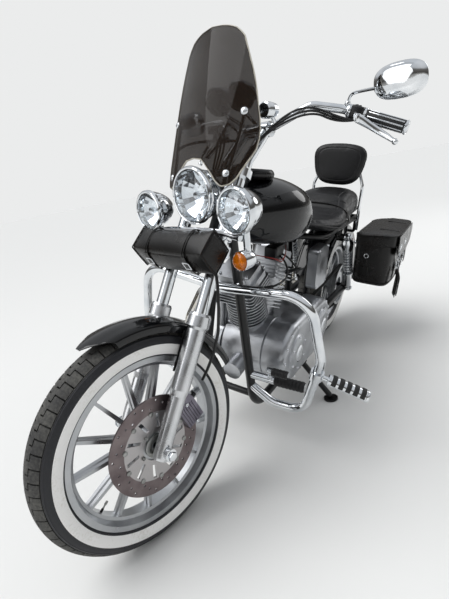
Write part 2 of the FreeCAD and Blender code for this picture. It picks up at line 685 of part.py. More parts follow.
lamp_spread = size("passing_lamp_spread")
passing = [pipe("lamp_bar", [lamp_bar_middle + Vector(0, -lamp_spread, -14),
                             lamp_bar_middle + Vector(0, -128, 0),
                             lamp_bar_middle + Vector(0, 128,
                                                      0), lamp_bar_middle + Vector(0, lamp_spread, -14)],
                "Sizes.bar_radius * 0.75", 60)]
for side, offset in LEG.items():
    grip_low = on_fork(size("lamp_bar_height") - 12) + offset
    grip_high = on_fork(size("lamp_bar_height") + 12) + offset
    block = rod(f"lamp_clamp_outer_{side}", grip_low, grip_high, "Sizes.tube_radius + 9")
    ear = rod(f"lamp_clamp_ear_{side}", on_fork(size("lamp_bar_height"), size("tube_radius") + 4) + offset,
              lamp_bar_middle + offset, "Sizes.bar_radius * 0.7")
    bore = rod(f"lamp_clamp_bore_{side}", grip_low - UP_FORK, grip_high + UP_FORK,
               "Sizes.tube_radius + Sizes.seat_gap")
    passing.append(cut(f"lamp_clamp_{side}", fused(f"lamp_clamp_solid_{side}", [block, ear]), bore))
for side, sign in SIDES.items():
    face = from_axle(-262, sign * size("passing_lamp_spread"), 609)
    passing.append(lamp(f"passing_shell_{side}", face, size("passing_lamp_radius"), 88, 8))
    low = face + Vector(-38, 0, -138)
    passing.append(rod(f"passing_stem_{side}", low,
                       face + Vector(-38, 0, -size("passing_lamp_radius") * 0.8),
                       "Sizes.bar_radius * 0.8"))
    passing.append(turned(f"front_indicator_{side}",
                          [(0, -52), (14, -50), (24, -38), (size("indicator_radius"), -16),
                           (size("indicator_radius"), 0),
                           (size("indicator_radius") - 3, 8), (14, 13), (0, 14)],
                          Placement(face + Vector(-6, 0, -132), FORWARD)))
node("passing_lamps", fused("passing_lamps_fused", passing), "steering")

# Handlebar on pull-back risers
bar_middle = from_axle(-588, 0, 816)
BAR_POINTS = [  # forward of the axle, left, above the axle
    (-588, 0, 816),
    (-590, 62, 818),
    (-652, 168, 868),
    (-704, 244, 846),
    (-748, 418, 772),
]
half_bar = [from_axle(*point) for point in BAR_POINTS]
whole_bar = [Vector(p.x, -p.y, p.z) for p in reversed(half_bar[1:])] + half_bar[1:]
bar_pieces = [pipe("bar_tube", whole_bar, "Sizes.bar_radius", size("bar_bend"))]
for side, sign in SIDES.items():
    base = on_fork(upper_yoke + thick + size("seat_gap"), stem + 6, sign * 44)
    top = bar_middle + Vector(0, sign * 44, 0)
    bar_pieces.append(pipe(f"riser_{side}", [base, base + UP_FORK * 60, top], "Sizes.bar_radius + 5", 60))
    bar_pieces.append(rod(f"riser_clamp_{side}", top - Vector(0, 17, 0), top + Vector(0, 17, 0),
                          "Sizes.bar_radius + 11"))
bar_pieces.append(rod("riser_bridge", bar_middle - Vector(0, 30, 0), bar_middle + Vector(0, 30, 0),
                      "Sizes.bar_radius + 8"))
pod_face = from_axle(-552, 82, 866)
bar_pieces.append(turned("bar_pod", [(0, -42), (12, -40), (20, -30), (24, -8), (24, 14), (20, 18), (0, 18)],
                         Placement(pod_face, FORWARD)))
bar_pieces.append(rod("bar_pod_stem", pod_face - Vector(10, 0, 0), from_axle(-596, 76, 822),
                      "Sizes.bar_radius / 2"))
node("handlebar", fused("handlebar_fused", bar_pieces), "steering")

# Grips, switch pods, levers and their perches
grips = []
for side, sign in SIDES.items():
    outer = from_axle(BAR_POINTS[4][0], sign * BAR_POINTS[4][1], BAR_POINTS[4][2])
    elbow = from_axle(BAR_POINTS[3][0], sign * BAR_POINTS[3][1], BAR_POINTS[3][2])
    run = (elbow - outer).normalize()
    grips.append((side, sign, outer, elbow, run))
controls = []
for side, sign, outer, elbow, run in grips:
    def sleeve(label, near, far, radius):
        tube = rod(f"{label}_outer_{side}", outer + run * near, outer + run * far, radius)
        bore = rod(f"{label}_bore_{side}", outer + run * (near - 1), outer + run * (far + 1),
                   "Sizes.bar_radius")
        return cut(f"{label}_{side}", tube, bore)
    controls.append(sleeve("grip", 2, 2 + size("grip_length"), "Sizes.grip_radius"))
    controls.append(sleeve("switch_pod", 3 + size("grip_length"), size("grip_length") + 44,
                           "Sizes.grip_radius + 5"))
    root = outer + run * (size("grip_length") + 26)
    perch = root + Vector(34, 0, -6)
    tip = outer + Vector(50, sign * -12, -34)
    controls.append(rod(f"lever_perch_{side}", root + Vector(16, 0, -3), perch + Vector(8, 0, 0),
                        "Sizes.bar_radius * 0.8"))
    controls.append(pipe(f"lever_{side}", [perch, perch + Vector(14, sign * 30, -10),
                                           (perch + tip) / 2 + Vector(12, 0, 0), tip],
                         "Sizes.bar_radius / 2", 40))
    knob = doc.addObject("Part::Sphere", f"lever_tip_{side}")
    knob.Placement.Base = tip
    bind(knob, Radius="Sizes.bar_radius * 0.75")
    controls.append(knob)
lefts = fused("left_controls", [c for c in controls if c.Name.endswith("left")])
rights = fused("right_controls", [c for c in controls if c.Name.endswith("right")])
node("grips_levers", [lefts, rights], "steering")

# Oval mirrors on thin stems
mirrors = []
for side, sign, outer, elbow, run in grips:
    upward = (Vector(0, 0, 1) - run * run.z).normalize()
    base = outer + run * (size("grip_length") + 24) + upward * (size("grip_radius") + 5 + size("seat_gap"))
    centre = from_axle(-690, sign * 420, 889)
    glass_place = facing(centre, Vector(-1, 0, 0.1))
    wide = size("mirror_width") / 2
    tall = size("mirror_height") / 2
    oval = [(-wide * 0.72, -tall * 0.8), (wide * 0.72, -tall * 0.8, (0, -tall)),
            (wide * 0.72, tall * 0.8, (wide, 0)),
            (-wide * 0.72, tall * 0.8, (0, tall))]
    oval[0] = (-wide * 0.72, -tall * 0.8, (-wide, 0))
    shell = plate(f"mirror_shell_{side}", [oval], "Sizes.mirror_height / 5", glass_place)
    elbow_point = base + upward * 46
    arm = pipe(f"mirror_stem_{side}", [base, elbow_point, centre + Vector(12, sign * -30, -tall * 0.45)],
               "Sizes.bar_radius * 0.4", 30)
    mirrors.append(fused(f"mirror_{side}", [shell, arm]))
node("mirrors", mirrors, "steering")

# Twin gauges on a bracket ahead of the risers
gauge_dir = Vector(-0.55, 0, 0.835)
gauge_parts = []
for side, sign in SIDES.items():
    centre = from_axle(-478, sign * size("gauge_spread"), 903)
    r = size("gauge_radius")
    gauge_parts.append(turned(f"gauge_cup_{side}",
                              [(0, -30), (r * 0.55, -28), (r * 0.86, -16), (r - 3, 4), (r - 3, 14),
                                                   (r, 16), (r, 26), (r - 4, 29), (r - 8, 26), (0, 26)],
                              facing(centre, gauge_dir)))
    gauge_parts.append(rod(f"gauge_post_{side}", centre - gauge_dir * 22, from_axle(-560, sign * 26, 836),
                           "Sizes.bar_radius / 2"))
gauge_parts.append(rod("gauge_bridge", from_axle(-478, -size("gauge_spread"), 898),
                       from_axle(-478, size("gauge_spread"), 898),
                       "Sizes.bar_radius / 2"))
node("gauges", fused("gauges_fused", gauge_parts), "steering")

# Smoked windshield: an outline cut from a tilted cylinder, with two straps to the fork
tilt = math.radians(size("shield_tilt"))
shield_up = Vector(-math.sin(tilt), 0, math.cos(tilt))
shield_base = from_axle(-311, 0, 700)
shield_place = Placement(shield_base, Rotation(Vector(0, 1, 0), shield_up, Vector(0, 0, 0), "XYZ"))
SHIELD_OUTLINE = [  # to one side, up the shield: half of an outline, from the arch's crown to the top
    (0, 66),
    (84, 8, (62, 46)),
    (128, -26, (98, -18)),
    (176, 6, (164, -22)),
    (186, 70, (186, 36)),
    (116, 400, (164, 240)),
    (0, 428, (66, 424)),
]


def mirrored_loop(half):
    """Close a half outline about the upright axis."""
    loop = [half[0][:2]] + [tuple(p) for p in half[1:]]
    back = []
    for before, point in zip(half[-2::-1], half[:0:-1]):
        bulge = point[2] if len(point) == 3 else None
        x, y = before[:2]
        back.append((-x, y, (-bulge[0], bulge[1])) if bulge else (-x, y))
    last = back.pop()
    loop[0] = (loop[0][0], loop[0][1], last[2]) if len(last) == 3 else loop[0]
    return loop + back


shield_blank = plate("shield_blank", [mirrored_loop(SHIELD_OUTLINE)], "Sizes.shield_radius", shield_place)
shield_blank.Placement = Placement(shield_base - Vector(math.cos(tilt), 0, math.sin(tilt)) * 150,
                                   Rotation(Vector(0, 1, 0), shield_up, Vector(0, 0, 0), "XYZ"))
bend_centre = shield_base - Vector(math.cos(tilt), 0, math.sin(tilt)) * size("shield_radius")
outer_bend = rod("shield_outer_bend", bend_centre - shield_up * 200, bend_centre + shield_up * 600,
                 "Sizes.shield_radius")
inner_bend = rod("shield_inner_bend", bend_centre - shield_up * 210, bend_centre + shield_up * 610,
                 "Sizes.shield_radius - Sizes.shield_thickness")
shield_sheet = cut("shield_bend", outer_bend, inner_bend)
shield = doc.addObject("Part::Common", "windshield_sheet")
shield.Base = shield_sheet
shield.Tool = shield_blank
node("windshield", shield, "steering")

# Tool roll strapped below the headlamp: a soft diamond section with capped ends
roll_half = size("fork_bag_height") / 2
roll_deep = size("fork_bag_depth") / 2
roll_section = [(0, -roll_half), (roll_deep, 0, (roll_deep * 0.62, -roll_half * 0.5)),
                (0, roll_half, (roll_deep * 0.62,
                                roll_half * 0.5)), (-roll_deep, 0, (-roll_deep * 0.6, roll_half * 0.5)),
                (0, -roll_half, (-roll_deep * 0.6, -roll_half * 0.5))][1:]
roll = plate("fork_bag_roll", [roll_section], "Sizes.fork_bag_length",
             Placement(on_fork(552, 78, size("fork_bag_length") / 2),
                       Rotation(AHEAD, UP_FORK, Vector(0, -1, 0), "ZXY")))
node("fork_bag", roll, "steering")

# Brake hose: from the lower yoke down the left leg to the caliper, clipped to the slider
HOSE_POINTS = [  # up the fork, ahead of the legs, left
    (558.5, 28, 98),
    (520, 26, 122),
    (470, 14, 140),
    (410, -12, 142),
    (350, -42, 134),
    (290, -70, 112),
    (236, -92, 84),
    (200, -104, 64),
]
hose = pipe("brake_hose_line", [on_fork(*point) for point in HOSE_POINTS], "Sizes.bar_radius * 0.35", 45)
node("brake_hose", hose, "steering")

# Frame: head tube, backbone, two cradle loops, seat rails and the cross tubes that join them
frame_pieces = []
head_low = lower_yoke + thick + size("running_gap")
head_high = upper_yoke - size("running_gap")
head_outer = rod("head_tube_outer", on_fork(head_low, stem), on_fork(head_high, stem),
                 "Sizes.head_tube_radius")
cradle = size("cradle_spread")
floor_z = size("cradle_height")
seat_rail_z = 700
backbone_start = on_fork(head_high - 48, stem)
backbone_end = Vector(600, 0, 720)
upright = size("upright_spread")
upright_x = size("swingarm_pivot") + 38
tube_loops = [("backbone", [backbone_start, backbone_end], "Sizes.backbone_radius")]
for side, sign in SIDES.items():
    tube_loops += [
        (f"cradle_{side}", [Vector(1176, sign * 24, 868), Vector(1128, sign * cradle, floor_z),
                            Vector(560, sign * cradle,
                                   floor_z), Vector(upright_x, sign * upright, floor_z + 75),
                            Vector(upright_x - 8, sign * upright,
                                   540), Vector(350, sign * cradle, seat_rail_z - 6)],
         "Sizes.frame_tube_radius"),
        (f"seat_rail_{side}", [backbone_end + Vector(14, 0, 2), Vector(520, sign * cradle, 712),
                               Vector(430, sign * cradle,
                                      seat_rail_z), Vector(-110, sign * cradle, seat_rail_z)],
         "Sizes.frame_tube_radius * 0.8"),
    ]
for name, points, radius in tube_loops:
    frame_pieces.append(pipe(f"{name}_tube", points, radius, size("frame_bend")) if len(points) > 2
                        else rod(f"{name}_tube", points[0], points[1], radius))
CROSS_TUBES = [  # name, forward, up
    ("front_cross", 1118, 240),
    ("middle_cross", 640, floor_z),
    ("seat_cross", 150, seat_rail_z),
    ("tail_cross", -90, seat_rail_z),
]
for name, forward, up in CROSS_TUBES:
    frame_pieces.append(rod(name, Vector(forward, -cradle, up), Vector(forward, cradle, up),
                            "Sizes.frame_tube_radius * 0.8"))
shock_top = Vector(214, 0, 655)
for side, sign in SIDES.items():
    lug = shock_top + Vector(0, sign * (cradle - 4), 0)
    frame_pieces.append(rod(f"shock_lug_{side}", lug,
                            shock_top + Vector(0, sign * (size("shock_spread") - 13), 0),
                            "Sizes.frame_tube_radius * 0.8"))
    frame_pieces.append(rod(f"shock_post_{side}", lug - Vector(0, 0, 0),
                            Vector(214, sign * cradle, seat_rail_z + 2),
                            "Sizes.frame_tube_radius * 0.8"))
frame_pieces.append(rod("upright_cross", Vector(upright_x - 4, -upright, 400),
                        Vector(upright_x - 4, upright, 400),
                        "Sizes.frame_tube_radius * 0.8"))
PIVOT = Vector(size("swingarm_pivot"), 0, 318)
lug_half = 8
for side, sign in SIDES.items():
    lug_place = Placement(Vector(0, sign * upright + lug_half, 0), Rotation(Vector(1, 0, 0), 90))
    lug = plate(f"pivot_lug_{side}", [rounded(PIVOT.x - 26, PIVOT.z - 26, upright_x, PIVOT.z + 26, 12)],
                "Sizes.frame_tube_radius", lug_place)
    lug_hole = rod(f"pivot_lug_hole_{side}", PIVOT + Vector(0, sign * 20, 0),
                   PIVOT + Vector(0, sign * 100, 0), "Sizes.bar_radius")
    frame_pieces.append(cut(f"pivot_lug_bored_{side}", lug, lug_hole))
strut_radius = size("rear_tyre_radius") + size("rear_fender_gap") - size("rear_fender_skirt") * 0.6
for side, sign in SIDES.items():
    for i, forward in enumerate((110, -70)):
        height = size("rear_tyre_radius") + math.sqrt(strut_radius ** 2 - forward ** 2)
        frame_pieces.append(pipe(f"fender_strut_{side}_{i}", [
            Vector(forward, sign * cradle, seat_rail_z), Vector(forward, sign * cradle, height),
            Vector(forward, sign * (size("rear_fender_width") / 2 + size("seat_gap")),
                   height)], "Sizes.sissy_radius", 10))
    frame_pieces.append(rod(f"cover_stud_{side}", Vector(upright_x + 4, sign * upright, 522),
                            Vector(upright_x + 4, sign * (size("cover_spread") - size("seat_gap")),
                                   522), "Sizes.sissy_radius"))
stand_pivot = Vector(size("stand_pivot"), cradle + size("frame_tube_radius") + 22, floor_z - 4)
frame_pieces.append(rod("stand_bracket", Vector(stand_pivot.x, cradle, floor_z),
                        stand_pivot - Vector(0, 18, 0),
                        "Sizes.stand_radius"))
head_solid = fused("frame_solid", [head_outer] + frame_pieces)
head_bore = rod("head_bore", on_fork(head_low - 5, stem), on_fork(head_high + 5, stem),
                "Sizes.stem_radius + Sizes.running_gap")
node("frame_tubes", cut("frame_cut", head_solid, head_bore))

# Engine: crankcase and gearbox in one unit, with the cam cover on the right
SIDEWAYS = Rotation(Vector(1, 0, 0), -90)
case_half = size("case_width") / 2
case_round = turned("crankcase_round", [(0, -case_half), (size("case_radius") - 8, -case_half),
                                         (size("case_radius"),
                                          -case_half + 8), (size("case_radius"), case_half - 8),
                                         (size("case_radius") - 8,
                                          case_half), (0, case_half)], Placement(CRANK, SIDEWAYS))
case_outline = [rounded(-405, -120, -40, 62, 26)]
case_left = size("belt_spread") - size("belt_width") / 2 - 3 * size("running_gap")
case_block = plate("gearbox_block", case_outline,
                   "Sizes.case_width / 2 + Sizes.belt_spread - Sizes.belt_width / 2 - 6",
                   Placement(CRANK + Vector(0, case_left, 0), Rotation(Vector(1, 0, 0), 90)))
cam_cover = turned("cam_cover", [(0, 0), (86, 0), (86, 26), (76, 34), (30, 38), (28, 44), (0, 44)],
                   Placement(CRANK + Vector(34, -case_half - 0, 4), Rotation(Vector(1, 0, 0), 90)))
decks = []
for end, sign in (("front", 1), ("rear", -1)):
    up = Vector(sign * math.sin(math.radians(size("cylinder_angle"))), 0,
                math.cos(math.radians(size("cylinder_angle"))))
    decks.append(rod(f"{end}_deck", CRANK, CRANK + up * (size("case_radius") + 14),
                     "Sizes.cylinder_radius + 4"))
oil_filter = rod("oil_filter", CRANK + Vector(size("case_radius") - 20, 0, -36),
                 CRANK + Vector(size("case_radius") + 62, 0, -52),
                 "Sizes.guard_radius * 2.3")
node("engine_cases", fused("engine_cases_fused", [case_round, case_block, cam_cover, oil_filter] + decks))

# Cylinders: finned barrel, square finned head and rocker box, tilted fore and aft, and the pushrod tubes
cylinder_pieces = []
tilt_angle = math.radians(size("cylinder_angle"))
fins = int(size("fin_count"))
for end, sign in (("front", 1), ("rear", -1)):
    up = Vector(sign * math.sin(tilt_angle), 0, math.cos(tilt_angle))
    fore = Vector(math.cos(tilt_angle), 0, -sign * math.sin(tilt_angle))
    deck = size("deck_height")
    barrel_foot = size("case_radius") + 14 + size("seat_gap")
    comb = [(0, barrel_foot), (size("cylinder_radius"), barrel_foot)]
    for i in range(fins):
        low = deck + i * size("fin_pitch")
        comb += [(size("cylinder_radius"), low), (size("fin_radius"), low),
                 (size("fin_radius"), low + size("fin_thickness")),
                 (size("cylinder_radius"), low + size("fin_thickness"))]
    barrel_top = deck + fins * size("fin_pitch")
    comb += [(size("cylinder_radius"), barrel_top), (0, barrel_top)]
    barrel = turned(f"{end}_barrel", comb, Placement(CRANK, Rotation(Vector(0, 0, 1), up)))
    head_base = CRANK + up * barrel_top
    head_place = Placement(head_base, Rotation(fore, Vector(0, 1, 0), up, "ZXY"))
    pieces = [barrel]
    half = size("fin_radius")
    core = half * 0.72
    pieces.append(plate(f"{end}_head_core", [rounded(-core, -core, core, core, 12)], "Sizes.head_height",
                        head_place))
    head_fins = 4
    for i in range(head_fins):
        rise = 6 + i * (size("head_height") - 6) / head_fins
        fin_place = Placement(head_base + up * rise, head_place.Rotation)
        pieces.append(plate(f"{end}_head_fin_{i}", [rounded(-half, -half, half, half, 18)],
                            "Sizes.fin_thickness", fin_place))
    box_base = head_base + up * size("head_height")
    rocker_place = Placement(box_base, head_place.Rotation)
    pieces.append(plate(f"{end}_rocker_base",
                        [rounded(-half * 0.86, -half * 0.96, half * 0.86, half * 0.96, 20)],
                        "Sizes.rocker_height * 0.45", rocker_place))
    upper_place = Placement(box_base + up * size("rocker_height") * 0.45, head_place.Rotation)
    pieces.append(plate(f"{end}_rocker_lid",
                        [rounded(-half * 0.74, -half * 0.84, half * 0.74, half * 0.84, 18)],
                        "Sizes.rocker_height * 0.55", upper_place))
    cylinder_pieces.append(fused(f"{end}_cylinder", pieces))
    for i, spread in enumerate((-20, 22)):
        foot = CRANK + Vector(34 + sign * 30 + spread * 0.5, -case_half - size("pushrod_radius") - 6, 76)
        tip = head_base + up * 10 + fore * (spread - sign * 10) + Vector(0, -size("fin_radius") - 4, 0)
        cylinder_pieces.append(rod(f"{end}_pushrod_{i}", foot, tip, "Sizes.pushrod_radius"))
cam_room = rod("cam_room", CRANK + Vector(34, -case_half + 1, 4), CRANK + Vector(34, -case_half - 60, 4),
               "Sizes.cylinder_radius + Sizes.guard_radius * 2.125 + Sizes.seat_gap")
node("cylinders", cut("cylinders_seated", fused("cylinders_fused", cylinder_pieces), cam_room))

# Primary cover on the left: two round ends joined by straight sides, domed at the front and over the clutch
primary_r = size("primary_radius")
primary_back = CRANK + Vector(-size("primary_length"), 0, 0)
span = size("primary_length")
primary_loop = [(0, primary_r), (0, -primary_r, (primary_r, 0)), (-span, -primary_r),
                (-span, primary_r, (-span - primary_r, 0))]
primary_place = Placement(CRANK + Vector(0, case_half + size("seat_gap"), 0),
                          Rotation(Vector(1, 0, 0), Vector(0, 0, 0), Vector(0, 1, 0), "ZXY"))
primary = plate("primary_plate",
                [[(x, -y, (b[0][0], -b[0][1])) if b else (x, -y) for x, y, *b in primary_loop]],
                "Sizes.primary_depth", primary_place)
primary_soft = softened("primary_soft", primary, 26,
                        lambda e: e.CenterOfMass.y > case_half + size("primary_depth") - 1)
domes = []
for name, centre, radius in (("alternator_dome", CRANK, 78), ("clutch_dome", primary_back, 84)):
    base = centre + Vector(0, case_half + size("primary_depth") - 2, 0)
    domes.append(turned(name, [(0, 0), (radius, 0), (radius - 6, 8), (radius - 26, 14), (0, 17)],
                        Placement(base, SIDEWAYS)))
node("primary_cover", fused("primary_fused", [primary_soft] + domes))

# Air cleaner and carburettor on the right, between the cylinders
air_centre = CRANK + Vector(0, 0, 214)
air_face = -size("fin_radius") - 62
carburettor = rod("carburettor", air_centre + Vector(0, -size("fin_radius") - 2, 0),
                  air_centre + Vector(0, air_face - 1, 0),
                  "Sizes.header_radius")
manifold = rod("manifold", air_centre + Vector(0, -30, 0),
               air_centre + Vector(0, -size("fin_radius") - 3, 0),
               "Sizes.bar_radius * 0.6")
air_cover = turned("air_cover", [(0, 0), (size("air_cleaner_radius"), 0), (size("air_cleaner_radius"), 34),
                                 (size("air_cleaner_radius") - 8, 42), (40, 48), (0, 48)],
                   Placement(air_centre + Vector(0, air_face, 0), Rotation(Vector(1, 0, 0), 90)))
node("air_cleaner", fused("air_cleaner_fused", [carburettor, manifold, air_cover]))

# Exhaust: two headers on the right that run into staggered mufflers
exhaust_pieces = []
muffler_y = -228
port_y = -size("fin_radius") - size("seat_gap")
EXHAUST_RUNS = [  # name, points forward, left, up; muffler's front, its height
    ("front", [(1084, port_y, 603), (1084, -136, 603), (1106, -190, 470), (1010, -214, 262)], 440, 262),
    ("rear", [(766, port_y, 603), (766, -136, 603), (700, -200, 500), (620, muffler_y, 364)], 350, 364),
]
for name, points, muffler_front, height in EXHAUST_RUNS:
    route = [Vector(*point) for point in points] + [Vector(muffler_front, muffler_y, height)]
    exhaust_pieces.append(pipe(f"{name}_header", route, "Sizes.header_radius", 70))
    r = size("muffler_radius")
    length = size("muffler_length")
    profile = [(0, 0), (size("header_radius") + 2, 0), (r, 90), (r, length), (r - 4, length),
               (r - 6, length - 60), (0, length - 60)]
    exhaust_pieces.append(turned(f"{name}_muffler", profile,
                                 Placement(Vector(muffler_front + 6, muffler_y, height),
                                           Rotation(Vector(0, 1, 0), -90))))
hanger = box("muffler_hanger", Vector(100, muffler_y + 4, 262), (40, 8, 364 - 262))
exhaust_pieces.append(hanger)
node("exhaust", fused("exhaust_fused", exhaust_pieces))

# Fuel tank and saddle: lofts through a few sections, each of four arcs
def oval_section(forward, half, low, widest, high, fullness=0.78):
    """A closed section across the bike: arcs through its top, bottom and two widest points."""
    rise = (high - widest) * 0.74
    drop = (widest - low) * 0.76
    corners = [Vector(forward, -half * fullness, widest + rise),
               Vector(forward, half * fullness, widest + rise),
               Vector(forward, half * fullness,
                      widest - drop), Vector(forward, -half * fullness, widest - drop)]
    mids = [Vector(forward, 0, high), Vector(forward, half, widest), Vector(forward, 0, low),
            Vector(forward, -half, widest)]
    arcs = [Part.Arc(corners[i], mids[i], corners[(i + 1) % 4]).toShape() for i in range(4)]
    return Part.Wire(arcs)


TANK_SECTIONS = [  # forward, half width, lowest, widest, highest
    (1118, 34, 856, 884, 912),
    (1062, 104, 800, 880, 964),
    (946, 168, 768, 862, 1000),
    (800, 156, 766, 846, 972),
    (690, 62, 782, 824, 872),
]
tank_raw = shaped("tank_loft", Part.makeLoft([oval_section(*row) for row in TANK_SECTIONS], True, False))
backbone_room = rod("backbone_room", backbone_start, backbone_end, "Sizes.backbone_radius + Sizes.seat_gap")
backbone_run = (backbone_end - backbone_start).normalize()
tunnel_half = size("backbone_radius") + size("seat_gap")
tunnel = box("tank_tunnel", Vector(0, -tunnel_half, 0),
             ((backbone_end - backbone_start).Length, 2 * tunnel_half, 200),
             Placement(backbone_start, Rotation(backbone_run, Vector(0, 1, 0), Vector(0, 0, 0), "XYZ")))
node("fuel_tank", cut("tank_cut", tank_raw, fused("tank_channel", [backbone_room, tunnel])))
console_base = Vector(964, 0, 1001)
console_dir = Vector(-0.1, 0, 1)
console = turned("console_dial", [(0, -8), (50, -8), (58, 2), (60, 14), (54, 24), (46, 27), (0, 27)],
                 facing(console_base, console_dir))
node("tank_console", cut("console_seated", console, tank_raw))

saddle_base = seat_rail_z + 0.8 * size("frame_tube_radius") + size("seat_gap")
SADDLE_SECTIONS = [  # forward, half width, lowest, widest, highest
    (TANK_SECTIONS[-1][0] - size("seat_gap"), 60, 794, 826, 864),
    (600, 108, 776, 798, 830),
    (440, 168, 736, 764, 798),
    (300, 172, saddle_base, 760, 812),
    (232, 148, saddle_base, 775, 858),
    (60, 136, saddle_base, 780, 868),
    (-96, 116, saddle_base, 784, 858),
]
node("saddle", shaped("saddle_loft",
                      Part.makeLoft([oval_section(*row, 0.86) for row in SADDLE_SECTIONS], True, True)))

# Rear fender, lamps and plate
rear_arch = arch("rear_fender_arch", REAR_AXLE, size("rear_tyre_radius") + size("rear_fender_gap"),
                 size("rear_fender_width"), size("rear_fender_skirt"), 22, 192)
node("rear_fender", rear_arch)

fender_outer = size("rear_tyre_radius") + size("rear_fender_gap") + size("sheet_thickness")
tail_angle = math.radians(152)
tail_out = Vector(math.cos(tail_angle), 0, math.sin(tail_angle))
tail_base = REAR_AXLE + tail_out * (fender_outer + size("seat_gap"))
tail_lamp = plate("tail_lamp_body", [rounded(-48, -34, 48, 34, 22)], "Sizes.indicator_radius * 1.6",
                  facing(tail_base, tail_out))
holder_x = -fender_outer - 16
plate_holder = box("plate_holder", Vector(holder_x, -90, tail_base.z - 152), (4, 180, 120))
plate_arm = rod("plate_arm", Vector(holder_x + 2, 0, tail_base.z - 60), tail_base + tail_out * 20,
                "Sizes.sissy_radius")
stalk = rod("rear_stalk", tail_base + Vector(-16, -130, 8), tail_base + Vector(-16, 130, 8),
            "Sizes.sissy_radius")
rear_lamp_parts = [tail_lamp, plate_holder, plate_arm, stalk]
for side, sign in SIDES.items():
    rear_lamp_parts.append(turned(f"rear_indicator_{side}",
                                  [(0, -50), (14, -48), (24, -36), (size("indicator_radius"), -14),
                                   (size("indicator_radius"), 0), (size("indicator_radius") - 3,
                                                                   8), (14, 13), (0, 14)],
                                  Placement(tail_base + Vector(-42, sign * 140, 8),
                                            Rotation(Vector(0, 1, 0), -90))))
node("rear_lamps", fused("rear_lamps_fused", rear_lamp_parts))

# Backrest: a bar from the seat rails, bent over behind the pad
bar_foot = Vector(-30, cradle + 0.8 * size("frame_tube_radius") + size("sissy_radius") + size("seat_gap"),
                  seat_rail_z)
SISSY_POINTS = [  # back from the foot, in from the foot, up from the rail
    (0, 0, -60),
    (0, 0, 60),
    (-12, 0, 172),
    (-25, 36, 262),
    (-39, 60, 362),
]
half_sissy = [bar_foot + Vector(back, -inward, up) for back, inward, up in SISSY_POINTS]
sissy = pipe("backrest_loop", half_sissy + [Vector(p.x, -p.y, p.z) for p in reversed(half_sissy)],
             "Sizes.sissy_radius", 40)
node("backrest_bar", sissy)
pad_centre = Vector(-18, 0, 978)
pad_tilt = Vector(math.cos(math.radians(8)), 0, math.sin(math.radians(8)))
half_w = size("pad_width") / 2
half_h = size("pad_height") / 2
pad_loop = [(-half_w * 0.66, -half_h, (-half_w * 0.8, -half_h * 0.86)),
            (half_w * 0.66, -half_h, (0, -half_h * 1.04)),
            (half_w, half_h * 0.2, (half_w * 0.9, -half_h * 0.6)), (half_w * 0.8, half_h * 0.86,
                                                                    (half_w * 0.98, half_h * 0.62)),
            (-half_w * 0.8, half_h * 0.86, (0, half_h)), (-half_w, half_h * 0.2,
                                                          (-half_w * 0.98, half_h * 0.62))]
pad_loop[0] = (-half_w * 0.66, -half_h, (-half_w * 0.9, -half_h * 0.6))
pad_place = Placement(pad_centre - pad_tilt * (size("pad_depth") / 2),
                      Rotation(Vector(0, 1, 0), Vector(0, 0, 0), pad_tilt, "ZXY"))
node("backrest_pad", plate("backrest_cushion", [pad_loop], "Sizes.pad_depth", pad_place))

# Saddlebags: an open stiffened box each, and a lid with a flap that turns about its inner top edge
bag_rear = size("bag_rear")
wall = size("bag_wall")
bag_top = size("bag_bottom") + size("bag_height")
LID_OVERHANG = 5
LID_HINGE = {}
for side, sign in SIDES.items():
    def bag_box(name, x0, x1, inner, outer, z0, z1, corner):
        loop = [rounded(x0, z0, x1, z1, corner)]
        place = Placement(Vector(0, sign * inner, 0),
                          Rotation(Vector(1, 0, 0), Vector(0, 0, 0), Vector(0, sign, 0), "ZXY"))
        flip = [[(x, -z * sign, (b[0][0], -b[0][1] * sign)) if b else (x, -z * sign) for x, z,
                 *b in loop[0]]]
        body = plate(name, flip, "Sizes.bag_width", place)
        body.Tip.setExpression("Length", None)
        body.Tip.Length = outer - inner
        return body
    near = size("bag_inner_side")
    far = near + size("bag_width")
    front = bag_rear + size("bag_length")
    shell = bag_box(f"{side}_bag_shell", bag_rear, front, near, far, size("bag_bottom"), bag_top + 40, 38)
    hollow = bag_box(f"{side}_bag_hollow", bag_rear + wall, front - wall, near + wall, far - wall,
                     size("bag_bottom") + wall, bag_top + 60, 30)
    trim = box(f"{side}_bag_trim", Vector(bag_rear - 5, min(sign * near, sign * far) - 5, bag_top),
               (size("bag_length") + 10, size("bag_width") + 10, 100))
    lid_base = bag_top + size("seat_gap")
    roll_back = Vector(bag_rear - LID_OVERHANG, sign * near, lid_base)
    roll_front = Vector(front + LID_OVERHANG, sign * near, lid_base)
    roll_room = rod(f"{side}_roll_room", roll_back, roll_front, "Sizes.bag_wall * 0.6 + Sizes.running_gap")
    opened = cut(f"{side}_bag_open", cut(f"{side}_bag_cut", shell, hollow), trim)
    node(f"{side}_bag", cut(f"{side}_bag_rolled", opened, roll_room))
    lid_far = far + LID_OVERHANG + wall
    low_y = min(sign * near, sign * lid_far)
    top = box(f"{side}_lid_top", Vector(bag_rear - LID_OVERHANG, low_y, lid_base),
              (size("bag_length") + 2 * LID_OVERHANG, lid_far - near, wall))
    roll = rod(f"{side}_lid_roll", roll_back, roll_front, "Sizes.bag_wall * 0.6")
    flap_low = min(sign * (far + LID_OVERHANG), sign * lid_far)
    flap = box(f"{side}_lid_flap", Vector(bag_rear + 30, flap_low, lid_base - size("flap_drop")),
               (size("bag_length") - 60, wall, size("flap_drop") + wall))
    node(f"{side}_bag_lid", fused(f"{side}_lid_fused", [top, flap, roll]), f"{side}_bag_lid")
    LID_HINGE[side] = ((roll_back + roll_front) / 2, Vector(sign, 0, 0))

